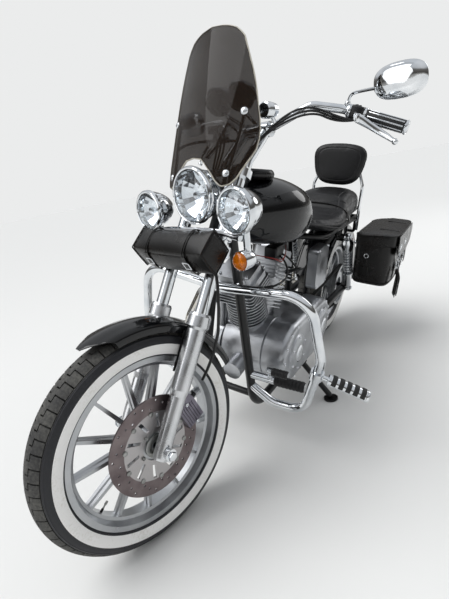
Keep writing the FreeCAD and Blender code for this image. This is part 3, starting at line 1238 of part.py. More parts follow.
# Swingarm, its pivot and the rear axle
arm_pieces = []
for side, sign in SIDES.items():
    y = sign * size("swingarm_spread")
    arm_pieces.append(rod(f"swing_leg_{side}", PIVOT + Vector(10, y, 0), REAR_AXLE + Vector(-26, y, 0),
                          "Sizes.swingarm_height / 2"))
    boss_start = sign * (upright + lug_half + size("seat_gap"))
    arm_pieces.append(rod(f"swing_boss_{side}", PIVOT + Vector(0, boss_start, 0), PIVOT + Vector(0, y, 0),
                          "Sizes.swingarm_height / 2"))
middle = upright - lug_half - size("seat_gap")
cross = rod("swing_middle", PIVOT + Vector(0, -middle, 0), PIVOT + Vector(0, middle, 0),
            "Sizes.swingarm_height / 2 - 5")
pivot_tube = rod("swing_shaft", PIVOT + Vector(0, -size("swingarm_spread"), 0),
                 PIVOT + Vector(0, size("swingarm_spread"), 0),
                 "Sizes.bar_radius")
rear_bar = rod("rear_axle_bar", REAR_AXLE - Vector(0, 150, 0), REAR_AXLE + Vector(0, 150, 0),
               "Sizes.axle_radius")
shock_low = Vector(64, 0, 336)
for side, sign in SIDES.items():
    arm_pieces.append(rod(f"shock_stud_{side}", shock_low + Vector(0, sign * 116, 0),
                          shock_low + Vector(0, sign * (size("shock_spread") - 13),
                                             0), "Sizes.axle_radius"))
node("swingarm", fused("swingarm_fused", arm_pieces + [cross, pivot_tube, rear_bar]))

# Rear shocks: coil over damper, between the frame's lug and the swingarm's stud
shock_pieces = []
for side, sign in SIDES.items():
    shift = Vector(0, sign * size("shock_spread"), 0)
    run = shock_top - shock_low
    eye_low = shock_low + shift
    direction = Vector(run).normalize()
    high = run.Length
    profile = [(0, 14), (18, 14), (18, 110), (29, 112), (29, 118), (9, 118), (9, high - 76), (29, high - 74),
               (29, high - 30), (20, high - 14), (0, high - 14)]
    shock_pieces.append(turned(f"shock_body_{side}", profile,
                               Placement(eye_low, Rotation(Vector(0, 0, 1), direction))))
    for end, eye in (("low", eye_low), ("top", shock_top + shift)):
        shock_pieces.append(rod(f"shock_eye_{end}_{side}", eye - Vector(0, 13, 0), eye + Vector(0, 13, 0),
                                "Sizes.shock_radius * 0.66"))
    coil_start = 120
    coil_length = run.Length - 74 - coil_start
    ring = size("shock_radius") - size("shock_wire")
    turns = int(size("shock_turns"))
    for i in range(turns):
        hoop = doc.addObject("Part::Torus", f"shock_coil_{side}_{i}")
        bind(hoop, Radius1="Sizes.shock_radius - Sizes.shock_wire", Radius2="Sizes.shock_wire")
        level = coil_start + coil_length * (i + 0.5) / turns
        hoop.Placement = Placement(eye_low + direction * level, Rotation(Vector(0, 0, 1), direction))
        shock_pieces.append(hoop)
node("shocks", shock_pieces)

# Side covers over the battery and the oil tank
covers = []
for side, sign in SIDES.items():
    loop = [rounded(0, 0, 152, 186, 30)]
    flip = [[(x, -z * sign, (b[0][0], -b[0][1] * sign)) if b else (x, -z * sign) for x, z, *b in loop[0]]]
    place = Placement(Vector(upright_x - 6, sign * size("cover_spread"), 492),
                      Rotation(Vector(1, 0, 0), Vector(0, 0, 0), Vector(0, sign, 0), "ZXY"))
    covers.append(plate(f"side_cover_{side}", flip, "Sizes.cover_depth", place))
node("side_covers", covers)

# What is clamped to the frame's downtubes is bored to fit them
down_rooms = []
down_points = {}
for side, sign in SIDES.items():
    high = Vector(1176, sign * 24, 868)
    low = Vector(1128, sign * cradle, floor_z)
    down_points[side] = (high, low)
    down_rooms.append(rod(f"downtube_room_{side}", high, low, "Sizes.frame_tube_radius + Sizes.seat_gap"))


def on_downtube(side, height):
    """The point of a downtube's middle line at a height."""
    high, low = down_points[side]
    return high + (low - high) * ((high.z - height) / (high.z - low.z))


# Engine guard: one bent tube across the front of the frame
guard_half = [  # forward, left, up
    (1126, 182, 240),
    (1116, 298, 240),
    (1160, size("guard_spread"), 480),
    (1196, size("guard_spread") - 44, 702),
]
guard_front = Vector(1208, 0, 676)
guard_left = [on_downtube("left", 292)] + [Vector(x, y, z) for x, y, z in guard_half]
guard_points = guard_left + [guard_front] + [Vector(p.x, -p.y, p.z) for p in reversed(guard_left)]
guard_solids = [pipe("engine_guard_tube", guard_points, "Sizes.guard_radius", size("guard_bend"))]
for side, sign in SIDES.items():
    lug_end = on_downtube(side, 684)
    upper = guard_half[-1]
    share = abs(lug_end.y) / upper[1]
    lug_start = guard_front + (Vector(upper[0], sign * upper[1], upper[2]) - guard_front) * share
    guard_solids.append(rod(f"guard_lug_{side}", lug_start, lug_end, "Sizes.guard_radius * 0.75"))
guard_fused = fused("engine_guard_fused", guard_solids)
node("engine_guard", cut("engine_guard_seated", guard_fused, fused("guard_rooms", down_rooms)))

# Pegs on the guard, folded out
highway = []
for side, sign in SIDES.items():
    low = Vector(guard_half[1][0], sign * guard_half[1][1], guard_half[1][2])
    high = Vector(guard_half[2][0], sign * guard_half[2][1], guard_half[2][2])
    root = low + (high - low) * 0.76
    out = Vector(-0.2, sign * 0.945, -0.266).normalize()
    peg_start = size("guard_radius") + 22
    clamp = rod(f"highway_clamp_{side}", root - (high - low).normalize() * 17,
                root + (high - low).normalize() * 17,
                "Sizes.guard_radius + 6")
    arm = rod(f"highway_arm_{side}", root, root + out * (peg_start + 10), "Sizes.peg_radius * 0.5")
    core = rod(f"highway_core_{side}", root + out * peg_start,
               root + out * (peg_start + size("highway_peg_length")),
               "Sizes.peg_radius")
    guard_room = rod(f"guard_room_{side}", low, high, "Sizes.guard_radius + Sizes.seat_gap")
    highway.append(cut(f"highway_peg_{side}", fused(f"highway_solid_{side}", [clamp, arm, core]),
                       guard_room))
node("highway_pegs", highway)

# Foot controls: rider pegs, shift lever, brake pedal and passenger pegs
feet = []
foot_rooms = fused("foot_rooms",
                   [rod(f"foot_room_{side}", *down_points[side], "Sizes.frame_tube_radius + Sizes.seat_gap")
                                  for side in SIDES])
for side, sign in SIDES.items():
    clamp = on_downtube(side, 338)
    knee = Vector(1122, sign * 164, 330)
    toe = knee + Vector(54, sign * 22, 70)
    foot_solid = fused(f"foot_solid_{side}", [
        rod(f"foot_bracket_{side}", clamp, knee, "Sizes.peg_radius * 0.8"),
        rod(f"rider_peg_{side}", knee - Vector(0, sign * 8, 0), knee + Vector(-12, sign * 130, 2),
            "Sizes.peg_radius * 0.85"),
        rod(f"pedal_arm_{side}", knee, toe, "Sizes.peg_radius * 0.4"),
        rod(f"pedal_toe_{side}", toe - Vector(0, sign * 10, 0), toe + Vector(-3, sign * 66, 1),
            "Sizes.peg_radius * 0.62")])
    feet.append(cut(f"foot_control_{side}", foot_solid, foot_rooms))
node("foot_controls", feet)


# Drive belt: a flat loop round the gearbox pulley and, with a running gap, the rear pulley
DRIVE = CRANK + Vector(-size("primary_length") - 2, 0, -6)
drive_run = DRIVE - REAR_AXLE


def two_pulley_loop(big, small, distance):
    """The outline of a band stretched round two circles."""
    lean = math.acos((big - small) / distance)
    cos_l = math.cos(lean)
    sin_l = math.sin(lean)
    return [(big * cos_l, big * sin_l, (-big, 0)), (distance + small * cos_l, small * sin_l),
            (distance + small * cos_l, -small * sin_l, (distance + small, 0)), (big * cos_l, -big * sin_l)]


big = size("pulley_radius") + size("running_gap")
small = size("front_pulley_radius") + size("seat_gap")
deep = size("belt_thickness")
belt_place = Placement(Vector(0, size("belt_spread") - size("belt_width") / 2, 0) + REAR_AXLE,
                       Rotation(drive_run, Vector(0, 0, 0), Vector(0, 1, 0), "ZXY"))
belt = plate("belt_band", [two_pulley_loop(big + deep, small + deep, drive_run.Length),
                           two_pulley_loop(big, small, drive_run.Length)], "Sizes.belt_width", belt_place)
front_pulley = turned("front_pulley", [(0, 0), (size("front_pulley_radius"), 0),
                                       (size("front_pulley_radius"), size("belt_width")),
                                       (0, size("belt_width"))],
                      Placement(DRIVE + Vector(0, size("belt_spread") - size("belt_width") / 2, 0),
                                SIDEWAYS))
node("drive_belt", [belt, front_pulley])

# At rest: the bars turn about the steering axis, then the whole bike leans and settles on its tyres
STEER = Placement(Vector(0, 0, 0), Rotation(UP_FORK, size("steer_angle")), STEER_AXIS_POINT)
LEAN = Rotation(Vector(1, 0, 0), -size("lean_angle"))
AXLE_DIRECTION = Vector(0, 1, 0)
tyres = [(STEER.multVec(FRONT_AXLE), STEER.Rotation.multVec(AXLE_DIRECTION), size("front_tyre_radius"),
          size("front_tyre_width")),
         (REAR_AXLE, AXLE_DIRECTION, size("rear_tyre_radius"), size("rear_tyre_width"))]


def lowest(tyre_data, upward):
    """How far a tyre reaches down along a direction, from its round crown."""
    centre, axle, radius, width = tyre_data
    ring = radius - width / 2
    return centre.dot(upward) - ring * math.sqrt(1 - axle.dot(upward) ** 2) - width / 2


pitch = 0.0
for step in range(20):
    turn = LEAN.multiply(Rotation(Vector(0, 1, 0), pitch))
    upward = turn.inverted().multVec(Vector(0, 0, 1))
    drop = lowest(tyres[0], upward) - lowest(tyres[1], upward)
    pitch += math.degrees(drop / size("wheelbase"))
ground = lowest(tyres[1], upward)

# Side stand: the leg reaches from its pivot to the ground where the lean puts it
foot_x = size("stand_pivot") + size("stand_lead")
foot_y = size("stand_reach")
foot_z = (ground + size("stand_foot_thickness") - upward.x * foot_x - upward.y * foot_y) / upward.z
foot_top = Vector(foot_x, foot_y, foot_z)
hub = doc.addObject("Part::Sphere", "stand_hub")
hub.Placement.Base = stand_pivot
bind(hub, Radius="Sizes.stand_radius + 4")
stand_leg = rod("stand_leg", stand_pivot, foot_top + upward * 6, "Sizes.stand_radius")
stand_foot = rod("stand_foot", foot_top, foot_top - upward * size("stand_foot_thickness"),
                 "Sizes.stand_foot_radius")
stand_down = (foot_top - stand_pivot).normalize()
STAND_FOLDED = Vector(-1, 0.1, 0.03)
stand_axis = stand_down.cross(STAND_FOLDED).normalize()
stand_swing = math.degrees(stand_down.getAngle(STAND_FOLDED))
stand_pin = rod("stand_pin", stand_pivot, stand_pivot + stand_axis * (size("stand_radius") + 10),
                "Sizes.stand_radius * 0.6")
node("side_stand", fused("stand_fused", [hub, stand_pin, stand_leg, stand_foot]), "side_stand")

# Stand everything on its final place, with the origin under the middle of the parked bike
STEERED = ("steering", "front_wheel")
doc.recompute()
for name, (obj, body) in NODES.items():
    carried = STEER if body in STEERED else Placement()
    obj.Placement = Placement(Vector(0, 0, 0), turn).multiply(carried).multiply(obj.Placement)
doc.recompute()
extent = FreeCAD.BoundBox()
for obj, body in NODES.values():
    extent.add(obj.Shape.optimalBoundingBox(False, False))
shift = Vector(-extent.Center.x, -extent.Center.y, -ground)
PARKED = Placement(shift, turn)
for obj, body in NODES.values():
    obj.Placement = Placement(shift, Rotation()).multiply(obj.Placement)
doc.recompute()

for obj in doc.Objects:
    if {"Invalid", "Error"} & set(obj.State):
        raise RuntimeError(f"{obj.Label} did not build: {obj.State}")
for name, (obj, body) in NODES.items():
    if obj.Shape.isNull() or not obj.Shape.isValid() or not obj.Shape.Solids:
        raise RuntimeError(f"{name} has no valid solid")
for name, (obj, body) in NODES.items():
    obj.Shape.exportStep(f"parts/{name}.step")
print(len(NODES), "nodes,", "stand swings", round(stand_swing, 1), "degrees, pitch", round(pitch, 3))
print("extent", extent)
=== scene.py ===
import json
import math
import random

import bmesh
import bpy
from bpy.props import FloatProperty, FloatVectorProperty, IntProperty, PointerProperty
from mathutils import Matrix, Vector


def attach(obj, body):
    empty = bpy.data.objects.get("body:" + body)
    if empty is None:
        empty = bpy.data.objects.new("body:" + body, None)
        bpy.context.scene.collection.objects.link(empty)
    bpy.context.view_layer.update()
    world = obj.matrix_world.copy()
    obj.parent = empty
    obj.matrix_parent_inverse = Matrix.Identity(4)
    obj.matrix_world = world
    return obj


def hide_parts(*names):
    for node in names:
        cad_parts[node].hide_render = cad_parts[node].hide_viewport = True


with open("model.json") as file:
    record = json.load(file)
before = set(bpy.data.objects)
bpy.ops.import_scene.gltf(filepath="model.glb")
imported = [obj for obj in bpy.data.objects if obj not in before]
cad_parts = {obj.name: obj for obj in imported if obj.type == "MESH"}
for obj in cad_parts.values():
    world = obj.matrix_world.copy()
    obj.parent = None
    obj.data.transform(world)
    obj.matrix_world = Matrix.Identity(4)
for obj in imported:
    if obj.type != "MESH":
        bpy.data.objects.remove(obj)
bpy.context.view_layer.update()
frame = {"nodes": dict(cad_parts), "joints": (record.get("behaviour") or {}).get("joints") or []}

bl_info = {
    "name": "Cruiser motorcycle finish",
    "version": (1, 0, 0),
    "blender": (4, 5, 0),
    "location": "3D View > Sidebar > Cruiser",
    "description": "Dresses a packed cruiser motorcycle frame with tyres, lamps, leather and trim",
    "category": "Object",
}

# Places: three frames in millimetres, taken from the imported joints
JOINTS = {joint["name"]: joint for joint in frame["joints"]}
RAKE = math.radians(30)
STEERED = math.radians(-16.5)
SIDES = {"left": 1, "right": -1}
FRONT_TYRE = 331
REAR_TYRE = 320


def basis(x_axis, y_axis, z_axis, origin):
    """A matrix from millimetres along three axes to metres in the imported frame."""
    matrix = Matrix.Identity(4)
    for column, axis in enumerate((x_axis, y_axis, z_axis)):
        for row in range(3):
            matrix[row][column] = axis[row] * 0.001
    matrix.translation = origin
    return matrix


LEFT = Vector(JOINTS["rear_spin"]["axis"]).normalized()
FORK_UP = Vector(JOINTS["steer"]["axis"]).normalized()
FORK_AHEAD = LEFT.cross(FORK_UP)
FORWARD = FORK_AHEAD * math.cos(RAKE) - FORK_UP * math.sin(RAKE)
UPRIGHT = FORK_AHEAD * math.sin(RAKE) + FORK_UP * math.cos(RAKE)
REAR_AXLE = Vector(JOINTS["rear_spin"]["pos_m"])
FRONT_AXLE = Vector(JOINTS["front_spin"]["pos_m"])
TURN = Matrix.Rotation(STEERED, 3, FORK_UP)
# BIKE: ground below the rear axle; LEVEL: front axle, level; FORK: front axle, Z up the fork legs
BIKE = basis(FORWARD, LEFT, UPRIGHT, REAR_AXLE - UPRIGHT * REAR_TYRE * 0.001)
LEVEL = basis(TURN @ FORWARD, TURN @ LEFT, TURN @ UPRIGHT, FRONT_AXLE)
FORK = basis(TURN @ FORK_AHEAD, TURN @ LEFT, FORK_UP, FRONT_AXLE)
UP_FORK, AHEAD = Vector((-0.5, 0, 0.866)), Vector((0.866, 0, 0.5))
CALIPER_LEAN = RAKE + math.radians(36)
# Parts are modelled about Z: AXLE_TURN lays it to the left, and FACE_FORWARD forward
AXLE_TURN = Matrix.Rotation(math.radians(-90), 4, "X")
FACE_FORWARD = Matrix.Rotation(math.radians(90), 4, "Y")


def hexed(code):
    """A linear colour from an sRGB hex value."""
    parts = [int(code[i:i + 2], 16) / 255 for i in (1, 3, 5)]
    return tuple(c / 12.92 if c <= 0.04045 else ((c + 0.055) / 1.055) ** 2.4 for c in parts)


def opaque(code):
    return (*hexed(code), 1.0)


class BikeColours(bpy.types.PropertyGroup):
    """Colours that an owner would choose."""
    paint: FloatVectorProperty(name="Paint", description="Enamel of tank and fenders", subtype="COLOR",
                               default=hexed("#07080a"))
    leather: FloatVectorProperty(name="Leather", description="Bags and tool roll", subtype="COLOR",
                                 default=hexed("#0e0d0c"))
    vinyl: FloatVectorProperty(name="Vinyl", description="Saddle and backrest", subtype="COLOR",
                               default=hexed("#0f0f10"))
    castings: FloatVectorProperty(name="Castings", description="Engine and wheel castings", subtype="COLOR",
                                  default=hexed("#b4b6b8"))
    whitewall: FloatVectorProperty(name="Whitewall", description="Ring on the tyre's side", subtype="COLOR",
                                   default=hexed("#e4e0d4"))


class BikeSizes(bpy.types.PropertyGroup):
    """Sizes of the trim, in millimetres."""
    tread_depth: FloatProperty(name="Tread depth", description="Depth of the tyre's grooves, mm", default=4.0,
                               min=1, max=8)
    tread_steps: IntProperty(name="Tread steps", description="Faces round each tyre, four to a pitch", default=232,
                             min=60, max=400)
    cable_radius: FloatProperty(name="Cable radius", description="Control cables, mm", default=3.2, min=1, max=6)
    bolt_height: FloatProperty(name="Bolt height", description="Bolt heads, mm", default=5.0, min=2, max=10)


# Mesh tools: each primitive is a bmesh in millimetres, and piece() places it
def turned(profile, steps=48, angle=math.tau):
    """A profile of (radius, height) points turned about Z, all round or through an angle."""
    bm = bmesh.new()
    verts = [bm.verts.new((radius, 0, height)) for radius, height in profile]
    edges = [bm.edges.new(pair) for pair in zip(verts, verts[1:])]
    bmesh.ops.spin(bm, geom=verts + edges, cent=(0, 0, 0), axis=(0, 0, 1), dvec=(0, 0, 0), angle=angle,
                   steps=steps, use_merge=angle == math.tau, use_normal_flip=False, use_duplicate=False)
    bmesh.ops.remove_doubles(bm, verts=bm.verts, dist=0.005)
    bmesh.ops.recalc_face_normals(bm, faces=bm.faces)
    return bm


def facing(way):
    """A matrix whose Z points along way."""
    return way.to_track_quat("Z", "Y").to_matrix().to_4x4()


def between(start, end):
    """A matrix whose Z runs from start to end, from start."""
    start, end = Vector(start), Vector(end)
    return Matrix.Translation(start) @ facing(end - start)


def turns(count, shift=0.0):
    """Matrices that set a part round Z, evenly spaced."""
    return [Matrix.Rotation(math.tau * i / count + shift, 4, "Z") for i in range(count)]


def ellipse(centre, across, upward, count=16):
    """Points round an ellipse; the first comes again at the end."""
    centre, across, upward = Vector(centre), Vector(across), Vector(upward)
    angles = [math.tau * i / count for i in range(count + 1)]
    return [centre + across * math.cos(angle) + upward * math.sin(angle) for angle in angles]


def ribbed(start, end, first, pitch, count, rib):
    """A profile to turn, from start to end, with a rib that is repeated along it."""
    ribs = [(radius, first + pitch * i + rise) for i in range(count) for radius, rise in rib]
    return [start, *ribs, end]


def bar(start, end, radius, end_radius=None, segments=20, chamfer=0.0):
    """A round bar between two points."""
    bm = bmesh.new()
    length = (Vector(end) - Vector(start)).length
    bmesh.ops.create_cone(bm, cap_ends=True, cap_tris=False, segments=segments, radius1=radius,
                          radius2=radius if end_radius is None else end_radius, depth=length)
    bmesh.ops.translate(bm, vec=(0, 0, length / 2), verts=bm.verts)
    if chamfer:
        rims = [e for e in bm.edges if e.calc_face_angle(0) > 1]
        bmesh.ops.bevel(bm, geom=rims, offset=chamfer, affect="EDGES", segments=2, profile=0.5, material=-1)
    bm.transform(between(start, end))
    return bm


def block(low, high, bevel=0.0, segments=2):
    """A block between two corners, with its edges rounded."""
    bm = bmesh.new()
    bmesh.ops.create_cube(bm, size=1)
    low, high = Vector(low), Vector(high)
    size = high - low
    bm.transform(Matrix.Translation((low + high) / 2) @ Matrix.Diagonal((*size, 1)))
    if bevel:
        bmesh.ops.bevel(bm, geom=bm.edges[:], offset=bevel, affect="EDGES", segments=segments, profile=0.5,
                        material=-1)
    return bm


def ball(radius, centre=(0, 0, 0), squash=(1, 1, 1), detail=3):
    bm = bmesh.new()
    bmesh.ops.create_icosphere(bm, subdivisions=detail, radius=radius)
    bm.transform(Matrix.Translation(centre) @ Matrix.Diagonal((*squash, 1)))
    return bm


def bolt(at, outward, radius, height=None, socket=False):
    """A hexagon head, or a round head with a socket, standing on a surface."""
    height = height or bpy.context.scene.bike_sizes.bolt_height
    bm = bmesh.new()
    bmesh.ops.create_cone(bm, cap_ends=True, cap_tris=False, segments=16 if socket else 6, radius1=radius,
                          radius2=radius * (0.96 if socket else 1), depth=height)
    bmesh.ops.translate(bm, vec=(0, 0, height / 2), verts=bm.verts)
    top = [f for f in bm.faces if f.normal.z > 0.9]
    bmesh.ops.bevel(bm, geom=list(top[0].edges), offset=radius * 0.14, affect="EDGES", segments=2, profile=0.5,
                    material=-1)
    top = [f for f in bm.faces if f.normal.z > 0.99 and f.calc_area() > radius]
    if socket and top:
        bmesh.ops.inset_region(bm, faces=top, thickness=radius * 0.4, depth=0)
        bmesh.ops.translate(bm, vec=(0, 0, -height * 0.5), verts=top[0].verts)
    at = Vector(at)
    bm.transform(between(at, at + Vector(outward)))
    return bm


def tube(points, radius, smooth=True, resolution=6, sides=3):
    """A round tube along points: a smooth spline through them, or straight runs."""
    curve = bpy.data.curves.new("tube", "CURVE")
    curve.dimensions = "3D"
    curve.bevel_depth = radius
    curve.bevel_resolution = sides
    curve.use_fill_caps = True
    curve.resolution_u = resolution
    spline = curve.splines.new("NURBS" if smooth else "POLY")
    spline.points.add(len(points) - 1)
    for point, place in zip(spline.points, points):
        point.co = (*place, 1)
    if smooth:
        spline.order_u = 3
        spline.use_endpoint_u = True
    holder = bpy.data.objects.new("tube", curve)
    mesh = bpy.data.meshes.new_from_object(holder)
    bm = bmesh.new()
    bm.from_mesh(mesh)
    bpy.data.objects.remove(holder)
    bpy.data.curves.remove(curve)
    bpy.data.meshes.remove(mesh)
    bmesh.ops.remove_doubles(bm, verts=bm.verts, dist=0.01)
    bmesh.ops.recalc_face_normals(bm, faces=bm.faces)
    return bm


def band(points, width, thickness, across):
    """A flat strap along points; across is its width's direction, one for all or one for each point."""
    bm = bmesh.new()
    ways = across if isinstance(across, list) else [across] * len(points)
    edge = None
    for place, way in zip(points, ways):
        side = Vector(way).normalized() * width / 2
        if edge is None:
            ends = [bm.verts.new(Vector(place) - side), bm.verts.new(Vector(place) + side)]
            edge = bm.edges.new(ends)
            continue
        made = bmesh.ops.extrude_edge_only(bm, edges=[edge])["geom"]
        edge = next(g for g in made if isinstance(g, bmesh.types.BMEdge))
        low, high = edge.verts
        if (high.co - low.co).dot(side) < 0:
            low, high = high, low
        low.co = Vector(place) - side
        high.co = Vector(place) + side
    bmesh.ops.recalc_face_normals(bm, faces=bm.faces)
    bmesh.ops.solidify(bm, geom=bm.faces[:], thickness=thickness)
    bmesh.ops.recalc_face_normals(bm, faces=bm.faces)
    return bm


def lofted(rings, capped=True):
    """A skin through closed rings of points."""
    bm = bmesh.new()
    loops = []
    for ring in rings:
        verts = [bm.verts.new(point) for point in ring]
        loops.append([bm.edges.new(pair) for pair in zip(verts, verts[1:] + verts[:1])])
    for before, after in zip(loops, loops[1:]):
        bmesh.ops.bridge_loops(bm, edges=before + after)
    if capped:
        for loop in (loops[0], loops[-1]):
            bmesh.ops.contextual_create(bm, geom=loop)
    bmesh.ops.recalc_face_normals(bm, faces=bm.faces)
    return bm


def outline_plate(points, thickness):
    """A flat plate in XY from an outline, thickened along Z."""
    bm = bmesh.new()
    face = bm.faces.new([bm.verts.new((x, y, 0)) for x, y in points])
    made = bmesh.ops.extrude_face_region(bm, geom=[face])["geom"]
    bmesh.ops.translate(bm, vec=(0, 0, thickness), verts=[g for g in made if isinstance(g, bmesh.types.BMVert)])
    bmesh.ops.recalc_face_normals(bm, faces=bm.faces)
    return bm


def buckle(low, high, half, wire, segments):
    """A chrome rectangle of wire between two places, half its width to each side."""
    low, high, half = Vector(low), Vector(high), Vector(half)
    corners = (low - half, high - half, high + half, low + half)
    return [(bar(start, end, wire, segments=segments), 1) for start, end in zip(corners, corners[1:] + corners[:1])]


def placed(bm, matrix):
    """Moves a bmesh by a matrix, and keeps its faces outwards where the matrix mirrors it."""
    bm.transform(matrix)
    if matrix.determinant() < 0:
        bmesh.ops.reverse_faces(bm, faces=bm.faces)
    return bm


def meshed(name, bm):
    """A mesh made from a bmesh, which is used up."""
    mesh = bpy.data.meshes.new(name)
    bm.to_mesh(mesh)
    bm.free()
    return mesh


def shown(name, data):
    """An object in the scene that holds the data."""
    thing = bpy.data.objects.new(name, data)
    bpy.context.scene.collection.objects.link(thing)
    return thing


def gathered(parts):
    """Joins parts into one bmesh: each is a bmesh, or a tuple of it, its finish's number and its place."""
    whole = bmesh.new()
    for part in parts:
        part = part if isinstance(part, tuple) else (part,)
        bm, finish, place = part + (0, None)[len(part) - 1:]
        if place is not None:
            placed(bm, place)
        for face in bm.faces:
            face.material_index = face.material_index or finish
        mesh = meshed("part", bm)
        whole.from_mesh(mesh)
        bpy.data.meshes.remove(mesh)
    return whole


def piece(name, bm, space, body, finishes, replaces=(), crease=35):
    """A finished piece: placed in its mesh, smooth but for its sharp edges, riding on its body."""
    placed(bm, space)
    limit = math.radians(crease)
    for face in bm.faces:
        face.smooth = True
    for edge in bm.edges:
        edge.smooth = edge.calc_face_angle(0) < limit
    thing = shown(name, meshed(name, bm))
    for finish in finishes:
        thing.data.materials.append(FINISH[finish])
    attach(thing, body)
    if replaces:
        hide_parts(*replaces)


# Materials
FINISH = {}


def add(tree, kind, links=None, stops=(), **settings):
    """Adds a shader node with its settings; links gives values or sockets by input name or number."""
    made = tree.nodes.new(kind)
    for key, value in settings.items():
        setattr(made, key, value)
    for key, value in (links or {}).items():
        if isinstance(value, bpy.types.NodeSocket):
            tree.links.new(value, made.inputs[key])
        else:
            made.inputs[key].default_value = value
    while stops and len(made.color_ramp.elements) < len(stops):
        made.color_ramp.elements.new(0.5)
    for element, (place, colour) in zip(made.color_ramp.elements if stops else (), stops):
        element.position = place
        element.color = (*colour[:3], 1)
    return made


def started(name, colour, roughness, **sockets):
    """A material with its tree, its shader and its object coordinates."""
    made = bpy.data.materials.new(name)
    made.use_nodes = True
    tree = made.node_tree
    shader = tree.nodes["Principled BSDF"]
    shader.inputs["Base Color"].default_value = (*colour[:3], 1)
    shader.inputs["Roughness"].default_value = roughness
    for key, value in sockets.items():
        shader.inputs[key.replace("_", " ")].default_value = value
    return made, tree, shader, add(tree, "ShaderNodeTexCoord").outputs["Object"]


def feed(tree, shader, **sockets):
    """Links outputs to the shader's own inputs."""
    for key, value in sockets.items():
        tree.links.new(value, shader.inputs[key.replace("_", " ")])


def make_rubber(name, dark, dust, clean, grain_mm, roughness):
    """Vulcanised, carbon-filled rubber from a mould.
    The eye sees a near black without a sharp highlight, and pale road dust lying in patches."""
    made, tree, shader, coords = started(name, hexed(dark), roughness)
    patches = add(tree, "ShaderNodeTexNoise", {"Vector": coords, "Scale": 1000 / 70, "Detail": 6}).outputs["Fac"]
    specks = add(tree, "ShaderNodeTexNoise", {"Vector": coords, "Scale": 1000 / 6, "Detail": 3}).outputs["Fac"]
    lying = add(tree, "ShaderNodeMath", {0: patches, 1: specks}, operation="MULTIPLY").outputs[0]
    colour = add(tree, "ShaderNodeValToRGB", {"Fac": lying},
                 ((clean, hexed(dark)), (clean + 0.3, hexed(dust)))).outputs[0]
    dull = add(tree, "ShaderNodeMapRange",
               {"Value": lying, "From Min": 0.15, "From Max": 0.4, "To Min": roughness - 0.08,
                "To Max": roughness + 0.12}).outputs[0]
    grain = add(tree, "ShaderNodeTexNoise",
                {"Vector": coords, "Scale": 1000 / grain_mm, "Detail": 3}).outputs["Fac"]
    bump = add(tree, "ShaderNodeBump", {"Height": grain, "Strength": 0.3, "Distance": 0.00025}).outputs[0]
    feed(tree, shader, Base_Color=colour, Roughness=dull, Normal=bump)
    return made


def make_metal(name, light, shade, roughness, spread, blotch_mm=45, grain_mm=0.0, grain=0.0):
    """Bare, plated or lacquered metal.
    The eye sees the room in it: handling marks cloud the gloss, and a casting keeps the fine grain of its sand."""
    made, tree, shader, coords = started(name, light, roughness, Metallic=1.0)
    cloud = add(tree, "ShaderNodeTexNoise",
                {"Vector": coords, "Scale": 1000 / blotch_mm, "Detail": 5}).outputs["Fac"]
    gloss = add(tree, "ShaderNodeMapRange",
                {"Value": cloud, "From Min": 0.3, "From Max": 0.7, "To Min": max(roughness - spread, 0.01),
                 "To Max": roughness + spread}).outputs[0]
    colour = add(tree, "ShaderNodeValToRGB", {"Fac": cloud}, ((0.35, shade), (0.65, light))).outputs[0]
    feed(tree, shader, Base_Color=colour, Roughness=gloss)
    if grain_mm:
        sand = add(tree, "ShaderNodeTexNoise",
                   {"Vector": coords, "Scale": 1000 / grain_mm, "Detail": 3}).outputs["Fac"]
        feed(tree, shader, Normal=add(tree, "ShaderNodeBump",
                                      {"Height": sand, "Strength": grain, "Distance": 0.0002}).outputs[0])
    return made


def make_enamel(name, colour):
    """Stoved enamel under clear lacquer.
    The eye sees deep black under one sharp reflection, with a faint orange peel and thin dust."""
    made, tree, shader, coords = started(name, colour, 0.3, Specular_IOR_Level=0.08, Coat_Weight=1.0, Coat_IOR=1.43,
                                          Coat_Roughness=0.02)
    dust = add(tree, "ShaderNodeTexNoise", {"Vector": coords, "Scale": 1000 / 90, "Detail": 6}).outputs["Fac"]
    film = add(tree, "ShaderNodeMapRange",
               {"Value": dust, "From Min": 0.4, "From Max": 0.8, "To Min": 0.24, "To Max": 0.4})
    peel = add(tree, "ShaderNodeTexNoise", {"Vector": coords, "Scale": 1000 / 9, "Detail": 2}).outputs["Fac"]
    bump = add(tree, "ShaderNodeBump", {"Height": peel, "Strength": 0.04, "Distance": 0.00005}).outputs[0]
    feed(tree, shader, Roughness=film.outputs[0], Coat_Normal=bump)
    return made


